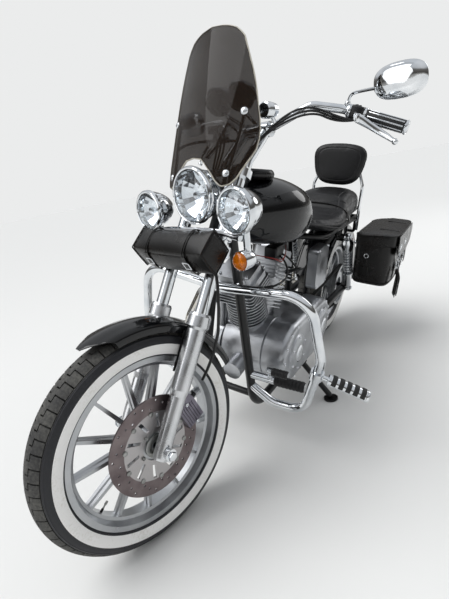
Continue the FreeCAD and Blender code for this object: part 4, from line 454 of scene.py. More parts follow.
def make_leather(name, colour, lighter, grain_mm, roughness, crease):
    """Waxed cowhide, or vinyl embossed to look like it.
    The eye sees pebbled cells between fine creases, and a lighter, glossier bloom where it is rubbed."""
    made, tree, shader, coords = started(name, colour, roughness, Specular_IOR_Level=0.3)
    bend = add(tree, "ShaderNodeTexNoise",
               {"Vector": coords, "Scale": 1000 / (grain_mm * 5), "Detail": 3}).outputs["Color"]
    warped = add(tree, "ShaderNodeMix", {"Factor": 0.0035, 4: coords, 5: bend}, data_type="VECTOR").outputs[1]
    cells = add(tree, "ShaderNodeTexVoronoi", {"Vector": warped, "Scale": 1000 / grain_mm},
                feature="DISTANCE_TO_EDGE")
    pebbles = add(tree, "ShaderNodeMapRange", {"Value": cells.outputs["Distance"], "From Max": 0.12}).outputs[0]
    rubbed = add(tree, "ShaderNodeTexNoise", {"Vector": coords, "Scale": 1000 / 70, "Detail": 5}).outputs["Fac"]
    tone = add(tree, "ShaderNodeValToRGB", {"Fac": rubbed}, ((0.42, colour), (0.75, lighter))).outputs[0]
    gloss = add(tree, "ShaderNodeMapRange",
                {"Value": rubbed, "From Min": 0.35, "From Max": 0.75, "To Min": roughness + 0.08,
                 "To Max": roughness - 0.1}).outputs[0]
    bump = add(tree, "ShaderNodeBump", {"Height": pebbles, "Strength": crease, "Distance": 0.00025}).outputs[0]
    feed(tree, shader, Base_Color=tone, Roughness=gloss, Normal=bump)
    return made


def make_glass(name, colour, roughness, transmission=1.0, flute_mm=0.0):
    """Pressed glass or acrylic.
    The eye looks through it to what lies behind, and a lamp's moulded flutes break that up."""
    made, tree, shader, coords = started(name, colour, roughness, Transmission_Weight=transmission, IOR=1.47)
    if flute_mm:
        # Wave bands come once in about 6.28 units of scale
        wave = add(tree, "ShaderNodeTexWave", {"Vector": coords, "Scale": 1000 / flute_mm / 6.28},
                   bands_direction="Z")
        feed(tree, shader, Normal=add(tree, "ShaderNodeBump", {"Height": wave.outputs["Fac"], "Strength": 0.4,
                                                               "Distance": 0.0008}).outputs[0])
    return made


def make_smoked(name):
    """Smoked polycarbonate sheet.
    The eye sees a dark brown pane with a clear reflection, and what is behind it faintly."""
    made, tree, shader, coords = started(name, hexed("#1d140c"), 0.03, Specular_IOR_Level=0.12)
    haze = add(tree, "ShaderNodeTexNoise", {"Vector": coords, "Scale": 1000 / 120, "Detail": 4}).outputs["Fac"]
    cover = add(tree, "ShaderNodeMapRange",
                {"Value": haze, "From Min": 0.35, "From Max": 0.75, "To Min": 0.74, "To Max": 0.8})
    feed(tree, shader, Alpha=cover.outputs[0])
    made.surface_render_method = "BLENDED"
    return made


def make_disc_steel(name):
    """Ground stainless brake disc: a ring rubbed by the pads round a plain carrier.
    The eye sees the ring's dull brown-grey of heat and pad dust, and the carrier's lighter steel."""
    made, tree, shader, coords = started(name, hexed("#8f8a8b"), 0.34, Metallic=1.0)
    centre, axis = FRONT_AXLE, TURN @ LEFT
    arm = add(tree, "ShaderNodeVectorMath", {0: coords, 1: centre}, operation="SUBTRACT").outputs[0]
    swept = add(tree, "ShaderNodeVectorMath", {0: arm, 1: axis}, operation="CROSS_PRODUCT").outputs[0]
    radius = add(tree, "ShaderNodeVectorMath", {0: swept}, operation="LENGTH").outputs["Value"]
    zone = add(tree, "ShaderNodeMapRange", {"Value": radius, "From Min": 0.101, "From Max": 0.103}).outputs[0]
    fine = add(tree, "ShaderNodeTexNoise", {"Vector": coords, "Scale": 1000 / 3, "Detail": 4}).outputs["Fac"]
    heat = add(tree, "ShaderNodeTexNoise", {"Vector": coords, "Scale": 1000 / 60, "Detail": 2}).outputs["Fac"]
    ring = add(tree, "ShaderNodeValToRGB", {"Fac": heat},
               ((0.35, hexed("#695f60")), (0.65, hexed("#827878")))).outputs[0]
    tone = add(tree, "ShaderNodeMix", {"Factor": zone, 6: opaque("#b3b0b0"), 7: ring}, data_type="RGBA").outputs[2]
    gloss = add(tree, "ShaderNodeMapRange",
                {"Value": fine, "From Min": 0.3, "From Max": 0.7, "To Min": 0.3, "To Max": 0.46})
    feed(tree, shader, Base_Color=tone, Roughness=gloss.outputs[0])
    return made


def make_plastic(name, colour, roughness, grain_mm=1.2, strength=0.15):
    """Moulded plastic or a powder coat.
    The eye sees an even colour with a soft highlight, broken a little by the texture of the mould or powder."""
    made, tree, shader, coords = started(name, colour, roughness, Specular_IOR_Level=0.4)
    fine = add(tree, "ShaderNodeTexNoise", {"Vector": coords, "Scale": 1000 / grain_mm, "Detail": 2}).outputs["Fac"]
    cloud = add(tree, "ShaderNodeTexNoise", {"Vector": coords, "Scale": 1000 / 50, "Detail": 3}).outputs["Fac"]
    gloss = add(tree, "ShaderNodeMapRange",
                {"Value": cloud, "From Min": 0.3, "From Max": 0.7, "To Min": roughness - 0.05,
                 "To Max": roughness + 0.05}).outputs[0]
    bump = add(tree, "ShaderNodeBump", {"Height": fine, "Strength": strength, "Distance": 0.0001}).outputs[0]
    feed(tree, shader, Roughness=gloss, Normal=bump)
    return made


def make_finishes():
    colours = bpy.context.scene.bike_colours
    castings = tuple(colours.castings)
    chrome = hexed("#e8eaec")
    FINISH.update({
        "tread": make_rubber("Vulcanised tread rubber", "#212122", "#5a5955", 0.12, 2.0, 0.8),
        # The sidewall's faint navy tint, in both its colours, is a painted reflection of the sky; the rubber itself
        # is black.
        "sidewall": make_rubber("Vulcanised sidewall rubber", "#14151b", "#2c2d30", 0.24, 2.0, 0.55),
        "whitewall": make_rubber("White sidewall rubber", "#f1f0ee", "#d6d3ca", 0.27, 1.5, 0.6),
        "grip_rubber": make_rubber("Moulded grip rubber", "#0c0c0d", "#1f1f20", 0.24, 1.5, 0.55),
        "belt": make_rubber("Toothed belt rubber", "#111110", "#3a3934", 0.24, 2.0, 0.7),
        "cast_alloy": make_metal("Silver lacquered cast aluminium", castings, hexed("#a7a9ac"), 0.34, 0.07, 60, 1.6,
                                 0.12),
        "caliper_alloy": make_metal("Anodised caliper alloy", hexed("#84808a"), hexed("#696570"), 0.36, 0.08, 40,
                                    1.6, 0.12),
        "polished_alloy": make_metal("Polished aluminium", hexed("#d6d7d9"), hexed("#c6c8ca"), 0.27, 0.06, 60),
        "chrome": make_metal("Chromium plate", chrome, hexed("#d2d6da"), 0.05, 0.03),
        "zinc": make_metal("Zinc plated steel", hexed("#a4a5a3"), hexed("#858683"), 0.34, 0.1),
        "engine_alloy": make_metal("Powder coated engine alloy", hexed("#c3c5c8"), hexed("#a9abaf"), 0.36, 0.08, 60,
                                   1.8, 0.15),
        "steel_pipe": make_metal("Chromed exhaust steel", hexed("#dfe0e2"), hexed("#cfc8b8"), 0.08, 0.05),
        "reflector": make_metal("Vacuum coated reflector", hexed("#f0f2f4"), hexed("#e2e6e8"), 0.06, 0.03),
        "mirror": make_metal("Silvered mirror glass", hexed("#dfe4e6"), hexed("#d8dde0"), 0.01, 0.005),
        "disc_steel": make_disc_steel("Ground stainless disc steel"),
        "enamel": make_enamel("Black enamel", tuple(colours.paint)),
        "frame_coat": make_plastic("Powder coated frame steel", hexed("#0a0a0b"), 0.34, 1.5, 0.12),
        "vinyl": make_leather("Expanded vinyl", tuple(colours.vinyl), hexed("#18181a"), 1.6, 0.38, 0.25),
        "leather": make_leather("Waxed saddle leather", tuple(colours.leather), hexed("#1a1613"), 2.6, 0.25, 0.28),
        "black_plastic": make_plastic("Moulded black ABS", hexed("#0b0b0c"), 0.38),
        "satin_black": make_plastic("Anodised black alloy", hexed("#0e0e10"), 0.28),
        # The edge's pale colour is a painted highlight: the light that a smoked pane's edge catches, given as an
        # opaque colour.
        "shield_edge_highlight": make_plastic("Polycarbonate edge with painted highlight", hexed("#b9b4a8"), 0.15),
        "dial": make_plastic("Printed dial face", hexed("#101114"), 0.5),
        "dial_mark": make_plastic("Printed dial marks", hexed("#d9dcd2"), 0.5),
        "red_wire": make_plastic("Red insulated wire", hexed("#7d1710"), 0.4),
        "cable": make_plastic("Black cable sheath", hexed("#0c0c0d"), 0.42),
        "smoked": make_smoked("Smoked polycarbonate"),
        "lens": make_glass("Clear lamp glass", (0.96, 0.98, 1.0), 0.02),
        "amber": make_glass("Amber indicator acrylic", hexed("#ff8a12"), 0.12, 0.6, 7),
        "ruby": make_glass("Red lamp acrylic", hexed("#c1100c"), 0.12, 0.6, 7),
        "floor": make_plastic("Plain painted floor", hexed("#dededc"), 0.7, 30, 0.03),
    })


CAD_FINISH = {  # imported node: finish
    "front_rim": "cast_alloy", "rear_rim": "cast_alloy", "front_disc": "disc_steel", "rear_pulley": "cast_alloy",
    "fork_sliders": "polished_alloy", "fork_tubes": "chrome", "front_axle": "chrome", "front_fender": "enamel",
    "brake_caliper": "caliper_alloy", "headlamp": "chrome", "passing_lamps": "chrome", "handlebar": "chrome",
    "grips_levers": "grip_rubber", "mirrors": "chrome", "gauges": "satin_black", "windshield": "smoked",
    "fork_bag": "leather", "brake_hose": "cable", "frame_tubes": "frame_coat", "engine_cases": "engine_alloy",
    "cylinders": "engine_alloy", "primary_cover": "engine_alloy", "air_cleaner": "chrome", "exhaust": "steel_pipe",
    "fuel_tank": "enamel", "tank_console": "satin_black", "saddle": "vinyl", "rear_fender": "enamel",
    "rear_lamps": "chrome", "backrest_bar": "chrome", "backrest_pad": "vinyl", "left_bag": "leather",
    "right_bag": "leather", "swingarm": "frame_coat", "shocks": "chrome", "side_covers": "engine_alloy",
    "engine_guard": "chrome", "highway_pegs": "chrome", "foot_controls": "chrome", "drive_belt": "belt",
    "side_stand": "frame_coat", "left_bag_lid": "leather", "right_bag_lid": "leather", "front_tyre": "tread",
    "rear_tyre": "tread",
}


class CRUISER_OT_finishes(bpy.types.Operator):
    """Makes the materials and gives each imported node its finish"""
    bl_idname = "cruiser.finishes"
    bl_label = "Finishes"

    def execute(self, context):
        make_finishes()
        for name, thing in frame["nodes"].items():
            thing.data.materials.clear()
            thing.data.materials.append(FINISH[CAD_FINISH[name]])
        return {"FINISHED"}


# Places on the bike, in millimetres, as the solids have them
FRONT_WHEEL = LEVEL @ AXLE_TURN
REAR_WHEEL = BIKE @ Matrix.Translation((0, 0, REAR_TYRE)) @ AXLE_TURN
HEAD_FACE = Vector((-286.7, 0, 648.5))
PASSING_FACE = Vector((-262, 189, 609))
INDICATOR_FACE = Vector((-268, 189, 477))
SHIELD_TILT = math.radians(20)
SHIELD_NORMAL = Vector((math.cos(SHIELD_TILT), 0, math.sin(SHIELD_TILT)))
SHIELD_UP = Vector((-math.sin(SHIELD_TILT), 0, math.cos(SHIELD_TILT)))
SHIELD_BASE = Vector((-291, 0, 700))
SHIELD_BEND = 296
FORK_LEG = 91
LAMP_CLAMP = Vector((-308, 0, 533.5))
PEDAL_KNEE = Vector((1122, 164, 330))
PEG_LEG = Vector((1116, 298, 240)), Vector((1160, 352, 480))
CRANK = Vector((925, 0, 350))
CYLINDER_TILT = math.radians(22.5)
CYLINDER_BASE = 264
PRIMARY_LENGTH = 286
PRIMARY_FACE = 188.3
TAIL_ANGLE = math.radians(152)
GRIP_OUTER = Vector((-748, 418, 772))
GRIP_ELBOW = Vector((-704, 244, 846))
SHOCK_LOW = Vector((64, 152, 336))
SHOCK_TOP = Vector((214, 152, 655))
# Places and sizes that only the visual has
HEAD_RADIUS = 83
PASSING_RADIUS = 64
CROSS_ROD = 100
STRAP_PLACES = (-70, 140)
BAG_REAR, BAG_FRONT, BAG_LOW, BAG_TOP = -185, 255, 436, 671.6
BAG_MIDDLE, BAG_HALF = (BAG_REAR + BAG_FRONT) / 2, (BAG_FRONT - BAG_REAR) / 2
BAG_OUT = 286
DIAL_START, DIAL_SWEEP, DIAL_MARKS = 225, 270, 25
NEEDLE_TURN = Matrix.Rotation(math.radians(215), 4, "Z")
AIR_PRESSURE = 4.0
AIR_FRAMES = 20
# The camera that the photo's solve gave, in LEVEL: its place, and its right, down and ahead
CAMERA_PLACE = Vector((509.5, 945.7, 722.5))
CAMERA_RIGHT = Vector((-0.705335, 0.701935, -0.09895))
CAMERA_DOWN = Vector((0.282245, 0.150039, -0.947537))
CAMERA_AHEAD = Vector((-0.650262, -0.696259, -0.303945))
CAMERA_LENS = 25.125


def flipped(point, sign):
    """A point of the left side, or its mirror image on the right."""
    return Vector((point[0], point[1] * sign, point[2]))


def shield_way(side):
    """The way out of the bent windshield, at a distance from its middle."""
    lean = math.asin(side / SHIELD_BEND)
    return SHIELD_NORMAL * math.cos(lean) + Vector((0, 1, 0)) * math.sin(lean)


def on_shield(side, up, out=0.0):
    """A point of the windshield's outer face."""
    centre = SHIELD_BASE - SHIELD_NORMAL * SHIELD_BEND + SHIELD_UP * up
    return centre + shield_way(side) * (SHIELD_BEND + out)


def levelled(place):
    """The place, turned a quarter about its Z where its X doesn't lie across the motorcycle."""
    if abs(place.to_3x3().col[0].y) > 0.7:
        return place
    return place @ Matrix.Rotation(math.radians(90), 4, "Z")


class CRUISER_OT_camera(bpy.types.Operator):
    """Stands the camera at the front left, low, with a wide lens"""
    bl_idname = "cruiser.camera"
    bl_label = "Camera"

    def execute(self, context):
        data = bpy.data.cameras.new("Camera")
        data.sensor_fit = "VERTICAL"
        data.sensor_height = 36
        data.lens = CAMERA_LENS
        turn = Matrix((CAMERA_RIGHT, -CAMERA_DOWN, -CAMERA_AHEAD)).transposed()
        axes = (LEVEL.to_3x3() * 1000) @ turn
        camera = shown("Camera", data)
        camera.matrix_world = Matrix.Translation(LEVEL @ CAMERA_PLACE) @ axes.to_4x4()
        context.scene.camera = camera
        return {"FINISHED"}


def tyre_mesh(radius, half, bead, rim_half, white_low, white_high):
    """A tyre about Z: a round section with a grooved tread, moulded rings and a white band on each side."""
    sizes = bpy.context.scene.bike_sizes
    steps = sizes.tread_steps // 4 * 4
    depth = sizes.tread_depth
    ring = radius - half
    columns = [0, 3.5, 9, 15, 18.5, 26, 34, 42, 51]
    rings = [54, 58, 59, 60, 66, 72, 78]
    white = [math.degrees(math.acos((r - ring) / half)) for r in (white_high, white_low)]
    rings += [white[0] - 1, white[0],
              *[white[0] + (white[1] - white[0]) * s for s in (0.03, 0.25, 0.5, 0.75, 0.97)], white[1],
              white[1] + 1, 122]

    def section(angle):
        low = 0.0
        if angle < 52:
            low = depth
        elif 58.5 < angle < 59.5:
            low = -0.6
        elif white[0] < angle < white[1]:
            low = -0.7
        way = math.radians(angle)
        return ring + (half - low) * math.cos(way), (half - low) * math.sin(way)

    side = [section(a) for a in columns + rings]
    foot = [(bead + 9.5, rim_half + 4.5), (bead + 9.5, rim_half - 3), (bead, rim_half - 3)]
    upper = side + foot
    profile = [(r, -z) for r, z in reversed(upper[1:])] + upper
    bm = turned(profile, steps)
    blocks = []
    for face in bm.faces:
        spot = face.calc_center_median()
        out = math.hypot(spot.x, spot.y) - ring
        angle = abs(math.degrees(math.atan2(spot.z, out)))
        if angle > 54:
            face.material_index = 1 if white[0] < angle < white[1] and out < half * 0.5 else 2
        if angle > 50.9 or out < 0:
            continue
        column = sum(angle > c for c in columns[1:])
        step = int((math.atan2(spot.y, spot.x) / math.tau % 1) * steps)
        phase = (step if spot.z > 0 else step + 2) % 4
        if not (column in (1, 2) and phase == 2 or column == 3 and phase != 3 or column > 3 and phase == 0):
            blocks.append(face)
    made = bmesh.ops.extrude_face_region(bm, geom=blocks)["geom"]
    for vert in (g for g in made if isinstance(g, bmesh.types.BMVert)):
        flat = Vector((vert.co.x, vert.co.y, 0))
        middle = flat.normalized() * ring
        vert.co = middle + (vert.co - middle).normalized() * half
    # Every second step is narrowed to a groove's width
    narrow = math.tau / steps * 0.55
    for vert in bm.verts:
        if round((math.atan2(vert.co.y, vert.co.x) / math.tau % 1) * steps) % 2:
            vert.co = Matrix.Rotation(-narrow, 3, "Z") @ vert.co
    bmesh.ops.recalc_face_normals(bm, faces=bm.faces)
    return bm


class CRUISER_OT_tyres(bpy.types.Operator):
    """Moulds both tyres, with their treads, white bands and valves"""
    bl_idname = "cruiser.tyres"
    bl_label = "Tyres"

    def execute(self, context):
        front = tyre_mesh(FRONT_TYRE, 50, 243, 34, 258, 288)
        piece("front_tyre_moulded", front, FRONT_WHEEL, "front_wheel",
              ["tread", "whitewall", "sidewall"], ["front_tyre"], 40)
        rear = tyre_mesh(REAR_TYRE, 65, 205, 42, 228, 262)
        piece("rear_tyre_moulded", rear, REAR_WHEEL, "rear_wheel",
              ["tread", "whitewall", "sidewall"], ["rear_tyre"], 40)
        for name, body, space, inner in (("front", "front_wheel", FRONT_WHEEL, 221),
                                         ("rear", "rear_wheel", REAR_WHEEL, 183)):
            way = Vector((math.cos(0.7), math.sin(0.7), 0))
            start = way * (inner + 1)
            stem = [bar(start, start - way * 12, 4, 3.4), (bar(start - way * 12, start - way * 30, 2.6), 1),
                    (bar(start - way * 22, start - way * 33, 3.8, chamfer=0.8, segments=12), 1)]
            piece(f"{name}_valve", gathered(stem), space, body, ["grip_rubber", "zinc"])
        return {"FINISHED"}


class CRUISER_OT_wheel_fittings(bpy.types.Operator):
    """Adds disc bolts and bobbins, hub bolts, axle nuts and the caliper's ribs, pins and union"""
    bl_idname = "cruiser.wheel_fittings"
    bl_label = "Wheel fittings"

    def execute(self, context):
        parts = []
        for turn in turns(5, 0.3):
            parts.append((bolt((48, 0, 60.6), (0, 0, 1), 5.6, 5, socket=True), 0, turn))
        for turn in turns(10, math.tau / 20):
            button = turned([(0, 64), (4.5, 64), (7, 62.6), (7.4, 60.4)], 16)
            parts.append((button, 0, turn @ Matrix.Translation((100, 0, 0))))
        parts.append(turned([(16, 48.5), (33, 48.5), (34, 50), (34, 61.4), (32, 62), (24, 63.5), (18, 63.5),
                             (16, 62)], 40))
        piece("front_disc_bolts", gathered(parts), FRONT_WHEEL, "front_wheel", ["zinc"])
        parts = []
        for sign in SIDES.values():
            for turn in turns(5):
                height = 74.5 if sign > 0 else 68.6
                parts.append((bolt((50, 0, sign * height), (0, 0, sign), 6.2, 5, socket=True), 0, turn))
        piece("rear_hub_bolts", gathered(parts), REAR_WHEEL, "rear_wheel", ["zinc"])
        parts = []
        for sign in SIDES.values():
            parts.append(bolt((0, 0, sign * 130.5), (0, 0, sign), 13, 9))
            parts.append((turned([(0, 126.5), (17, 126.5), (18, 127.5), (18, 130), (16, 131), (0, 131)], 32), 0,
                          Matrix.Diagonal((1, 1, sign, 1))))
        piece("front_axle_hexagons", gathered(parts), FRONT_WHEEL, "steering", ["chrome"])
        # The caliper's own Z runs out from the axle, and its X across
        seat = Matrix.Translation((0, 58, 0)) @ Matrix.Rotation(-CALIPER_LEAN, 4, "Y")
        parts = []
        for i in range(6):
            low = 107 + i * 8.2
            parts.append((block((-33, 24, low), (33, 29.6, low + 3.6), 1.2), 0, seat))
        for x in (-37, 37):
            parts.append((bolt((x, 25.6, 130), (0, 1, 0), 5.4, 6, socket=True), 1, seat))
        parts.append((bar((30, 14, 158), (30, 14, 171), 7, chamfer=1), 2, seat))
        parts.append((bolt((30, 14, 170), (0, 0, 1), 7, 6), 2, seat))
        parts.append((bar((30, 14, 165), (22, -8, 180), 5, 4.4), 2, seat))
        piece("caliper_ribs", gathered(parts), LEVEL, "steering",
              ["caliper_alloy", "chrome", "satin_black"])
        parts = []
        for sign in SIDES.values():
            parts.append(bolt((0, 0, sign * 139), (0, 0, sign), 15, 11))
        piece("rear_axle_hexagons", gathered(parts), REAR_WHEEL, "frame", ["chrome"])
        return {"FINISHED"}


def lamp_parts(radius, depth, bulge):
    """A lamp facing +Z: a chrome shell, a faceted reflector, a bulb and its shade, and a domed lens."""
    shell = [(0, -depth), (radius * 0.3, -depth * 0.985), (radius * 0.42, -depth * 0.93),
             (radius * 0.6, -depth * 0.79), (radius * 0.74, -depth * 0.62), (radius * 0.84, -depth * 0.45),
             (radius * 0.9, -depth * 0.3), (radius * 0.94, -14), (radius * 0.955, -12), (radius, -10),
             (radius + 0.4, -6), (radius, 0), (radius - 2, 3.6), (radius - 5, 5), (radius - 8, 4),
             (radius - 9.5, 1), (radius - 10, -3)]
    bowl = [(radius - 10.2, -2)] + [(radius * share, -4 - depth * 0.52 * (1 - share ** 2)) for share in
                                    (0.82, 0.66, 0.5, 0.34, 0.2, 0.1)]
    reflector = turned(bowl, 22)
    bmesh.ops.reverse_faces(reflector, faces=reflector.faces)
    base = -4 - depth * 0.52
    bulb = turned([(0, base + 34), (4, base + 33), (6, base + 29), (6, base - 4)], 20)
    shade = turned([(0, base + 42), (9, base + 40.5), (11, base + 36), (11.5, base + 27), (10.5, base + 27),
                    (10, base + 36), (8, base + 39), (0, base + 40.5)], 24)
    edge = radius - 9.6
    lens = [(0, 2 + bulge), (edge * 0.4, 2 + bulge * 0.9), (edge * 0.72, 2 + bulge * 0.58), (edge, 2.4),
            (edge, -0.4), (edge * 0.72, bulge * 0.58 - 0.6), (edge * 0.4, bulge * 0.9 - 0.6), (0, bulge - 0.6)]
    return turned(shell, 64), reflector, bulb, shade, turned(lens, 56)


class CRUISER_OT_front_fender(bpy.types.Operator):
    """Rolls the front fender's sheet, trims its nose and bolts its stays to the sliders"""
    bl_idname = "cruiser.front_fender"
    bl_label = "Front fender"

    def execute(self, context):
        inner, half, skirt, tip, nose = 353, 56, 32, 9, 70
        side = [(inner - skirt, half), (inner - 24, half), (337, 55.4), (343.5, 53), (347.8, 48.5), (350.4, 42),
                (351.6, 35), (354.6, 24), (357.2, 12), (358, 0)]
        start = math.radians(-68)
        sheet = turned(side + [(r, -y) for r, y in reversed(side[:-1])], 56, math.radians(-90))
        bmesh.ops.rotate(sheet, verts=sheet.verts, cent=(0, 0, 0), matrix=Matrix.Rotation(start, 3, "Z"))
        out, ahead = Vector((math.cos(start), math.sin(start), 0)), Vector((-math.sin(start), math.cos(start), 0))
        for sign in SIDES.values():
            place = out * inner + Vector((0, 0, sign * tip))
            bmesh.ops.bisect_plane(sheet, geom=sheet.verts[:] + sheet.edges[:] + sheet.faces[:], dist=0.01,
                                   clear_outer=True, plane_co=place,
                                   plane_no=ahead * (half - tip) + Vector((0, 0, sign * nose)))
        bmesh.ops.recalc_face_normals(sheet, faces=sheet.faces)
        bmesh.ops.solidify(sheet, geom=sheet.faces[:], thickness=3)
        rims = [e for e in sheet.edges if e.calc_face_angle(0) > 1.2]
        bmesh.ops.bevel(sheet, geom=rims, offset=0.9, affect="EDGES", segments=2, profile=0.5, material=-1)
        to_fork = FORK.inverted() @ FRONT_WHEEL
        parts = [(sheet, 0, to_fork)]
        for sign in SIDES.values():
            low, high = (-15, min(sign * 56.4, sign * 60), 212), (15, max(sign * 56.4, sign * 60), 330)
            parts.append((block(low, high, 1.6), 1))
            for height in (226, 321):
                parts.append((bar((0, sign * 59, height), (0, sign * 63.6, height), 11, segments=24), 1))
                parts.append((bolt((0, sign * 55.6, height), (0, -sign, 0), 7, 5), 2))
        piece("front_fender_sheet", gathered(parts), FORK, "steering",
              ["enamel", "frame_coat", "chrome"], ["front_fender"], 40)
        return {"FINISHED"}


class CRUISER_OT_lamps(bpy.types.Operator):
    """Builds the headlamp, the passing lamps and the front indicators"""
    bl_idname = "cruiser.lamps"
    bl_label = "Lamps"

    def execute(self, context):
        stem_low, stem_high = Vector((-306, 0, 571)), HEAD_FACE + Vector((-26, 0, -60))
        shells = [bar(stem_low, stem_high, 12)]
        lenses = []
        for face, radius, depth, bulge in ((HEAD_FACE, HEAD_RADIUS, 100, 10), (PASSING_FACE, PASSING_RADIUS, 88, 8),
                                           (flipped(PASSING_FACE, -1), PASSING_RADIUS, 88, 8)):
            place = Matrix.Translation(face) @ FACE_FORWARD
            shell, reflector, bulb, shade, lens = lamp_parts(radius, depth, bulge)
            shells += [(shell, 0, place), (bulb, 0, place), (shade, 0, place)]
            lenses.append((lens, 0, place))
            name = "head" if radius == HEAD_RADIUS else ("left" if face.y > 0 else "right")
            piece(f"{name}_reflector", gathered([(reflector, 0, place)]), LEVEL, "steering",
                  ["reflector"], crease=3)
            if radius == HEAD_RADIUS:
                piece("headlamp_shell", gathered(shells), LEVEL, "steering", ["chrome"],
                      ["headlamp"])
                shells = []
        for sign in SIDES.values():
            face = flipped(INDICATOR_FACE, sign)
            place = Matrix.Translation(face) @ FACE_FORWARD
            shells.append((turned([(0, -52), (8, -51.5), (14, -50), (20, -45), (24, -38), (26, -28), (27, -16),
                                   (27, 0), (25.5, 1), (24, 0), (24, -10)], 40), 0, place))
            shells.append(bar(face + Vector((-32, 0, 0)), face + Vector((-32, 0, 84)), 10.2))
            dome = turned([(0, 14), (7, 13.6), (14, 12.4), (20, 9), (23.6, 3), (23.8, -3)], 40)
            piece(f"{'left' if sign > 0 else 'right'}_indicator_lens", gathered([(dome, 0, place)]), LEVEL,
                  "steering", ["amber"])
        bar_middle = LAMP_CLAMP + Vector((31.2, 0, 18))
        shells.append(tube([bar_middle + Vector(p)
                            for p in ((0, -189, -14), (0, -150, -6), (0, -118, 0), (0, 118, 0), (0, 150, -6),
                                      (0, 189, -14))], 9.5))
        for sign in SIDES.values():
            leg = LAMP_CLAMP + Vector((0, FORK_LEG * sign, 0))
            shells.append(bar(leg - UP_FORK * 12, leg + UP_FORK * 12, 28.5, segments=40, chamfer=2))
            shells.append(bar(leg + Vector((20.4, 0, 11.8)), bar_middle + Vector((0, FORK_LEG * sign, 0)), 8.9))
            ear = leg + AHEAD * 30
            shells.append(bolt(ear + Vector((0, 9 * sign, 0)), (0, sign, 0), 5.5, 5))
        piece("passing_lamp_shells", gathered(shells), LEVEL, "steering", ["chrome"],
              ["passing_lamps"])
        piece("lamp_lenses", gathered(lenses), LEVEL, "steering", ["lens"])
        return {"FINISHED"}


class CRUISER_OT_windshield(bpy.types.Operator):
    """Bends the smoked pane, and adds its polished edge, painted pale as a highlight, its caps and the rods that
    clamp it to the fork
    """
    bl_idname = "cruiser.windshield"
    bl_label = "Windshield"

    def execute(self, context):
        half = [(0, 55), (32, 50), (46, 38), (64, 19), (79, 2), (88, -9), (95, -15), (103, -21), (110, -23),
                (130, -16), (144, 0), (156, 27), (169, 55), (179, 81), (182, 109), (181, 134), (177, 160),
                (171, 186), (162, 230), (151, 271), (136, 313), (120, 354), (113, 372), (101, 385), (86, 397),
                (69, 403), (44, 409), (0, 414)]
        ring = half + [(-side, up) for side, up in reversed(half[1:-1])]
        pane = outline_plate(ring, 5)
        for i in range(-14, 15):
            geometry = pane.verts[:] + pane.edges[:] + pane.faces[:]
            bmesh.ops.bisect_plane(pane, geom=geometry, dist=0.01, plane_co=(i * 13 + 0.5, 0, 0),
                                   plane_no=(1, 0, 0))
        for vert in pane.verts:
            vert.co = on_shield(vert.co.x, vert.co.y, vert.co.z - 5)
        piece("windshield_pane", pane, LEVEL, "steering", ["smoked"], ["windshield"])
        # A tube along the pane's outline; its pale colour is a painted highlight on the edge.
        loop = [on_shield(side, up, -2.5) for side, up in ring]
        rim = tube(loop + loop[:1], 2.7, smooth=False, sides=2)
        piece("windshield_edge", rim, LEVEL, "steering", ["shield_edge_highlight"], crease=60)
        caps, rods = [], []
        for sign in SIDES.values():
            for side, up in ((140 * sign, 177), (116 * sign, 11)):
                way = shield_way(side)
                start = on_shield(side, up)
                place = between(start, start + way)
                caps.append((turned([(0, 5.4), (4.6, 5.2), (6.6, 4), (7.4, 2), (7.6, 0)], 28), 0, place))
                caps.append((turned([(6, 1.6), (9.4, 1.4), (10.2, 0.5), (10.2, 0)], 32), 0, place))
                inside = on_shield(side, up, -5)
                caps.append((turned([(0, -7), (6, -7), (7, -6), (7, 0)], 6), 0, between(inside, inside + way)))
            leg = UP_FORK * 700 + Vector((0, FORK_LEG * sign, 0))
            path = [on_shield(140 * sign, 189, -10.3), on_shield(136 * sign, 130, -10.3),
                    on_shield(126 * sign, 60, -10.3), on_shield(116 * sign, 11, -10.3),
                    on_shield(115 * sign, -5, -12), leg + AHEAD * 30 + Vector((0, 6 * sign, 5)), leg + AHEAD * 24.5]
            rods.append(tube(path, 5, sides=4))
            rods.append(bar(leg - UP_FORK * 11, leg + UP_FORK * 11, 27.5, segments=40, chamfer=2))
            rods.append(bolt(leg + AHEAD * 27 + Vector((0, -14 * sign, 0)), AHEAD, 6, 5, socket=True))
            rods.append(tube([on_shield(131 * sign, CROSS_ROD, -10.3), on_shield(96 * sign, CROSS_ROD, -9),
                              on_shield(48 * sign, CROSS_ROD, -9), on_shield(0, CROSS_ROD, -9)], 4.5))
        piece("windshield_bolts", gathered(caps), LEVEL, "steering", ["chrome"])
        piece("windshield_straps", gathered(rods), LEVEL, "steering", ["chrome"])
        return {"FINISHED"}


def ringed(cuts, count, at):
    """Rings for a skin: at(cut, turn) gives a point of each ring, turn going from 0 to 1 round it."""
    return [[at(cut, i / count) for i in range(count)] for cut in cuts]


def swell(thing, voxel, cap):
    """Blows a padded piece up a little as cloth under pressure, at most by cap, and keeps the shape it takes."""
    remesh = thing.modifiers.new("Even", "REMESH")
    remesh.mode = "VOXEL"
    remesh.voxel_size = voxel * 0.001
    apply_modifiers(thing)
    before = [v.co.copy() for v in thing.data.vertices]
    cloth = thing.modifiers.new("Air", "CLOTH")
    cloth.settings.use_pressure = True
    cloth.settings.uniform_pressure_force = AIR_PRESSURE
    cloth.settings.effector_weights.gravity = 0
    cloth.settings.tension_stiffness = 40
    cloth.settings.compression_stiffness = 40
    cloth.settings.bending_stiffness = 14
    cloth.point_cache.frame_end = AIR_FRAMES
    for number in range(1, AIR_FRAMES + 1):
        bpy.context.scene.frame_set(number)
    apply_modifiers(thing)
    bpy.context.scene.frame_set(1)
    limit = cap * 0.001
    for vert, start in zip(thing.data.vertices, before):
        way = vert.co - start
        if way.length > limit:
            vert.co = start + way.normalized() * limit


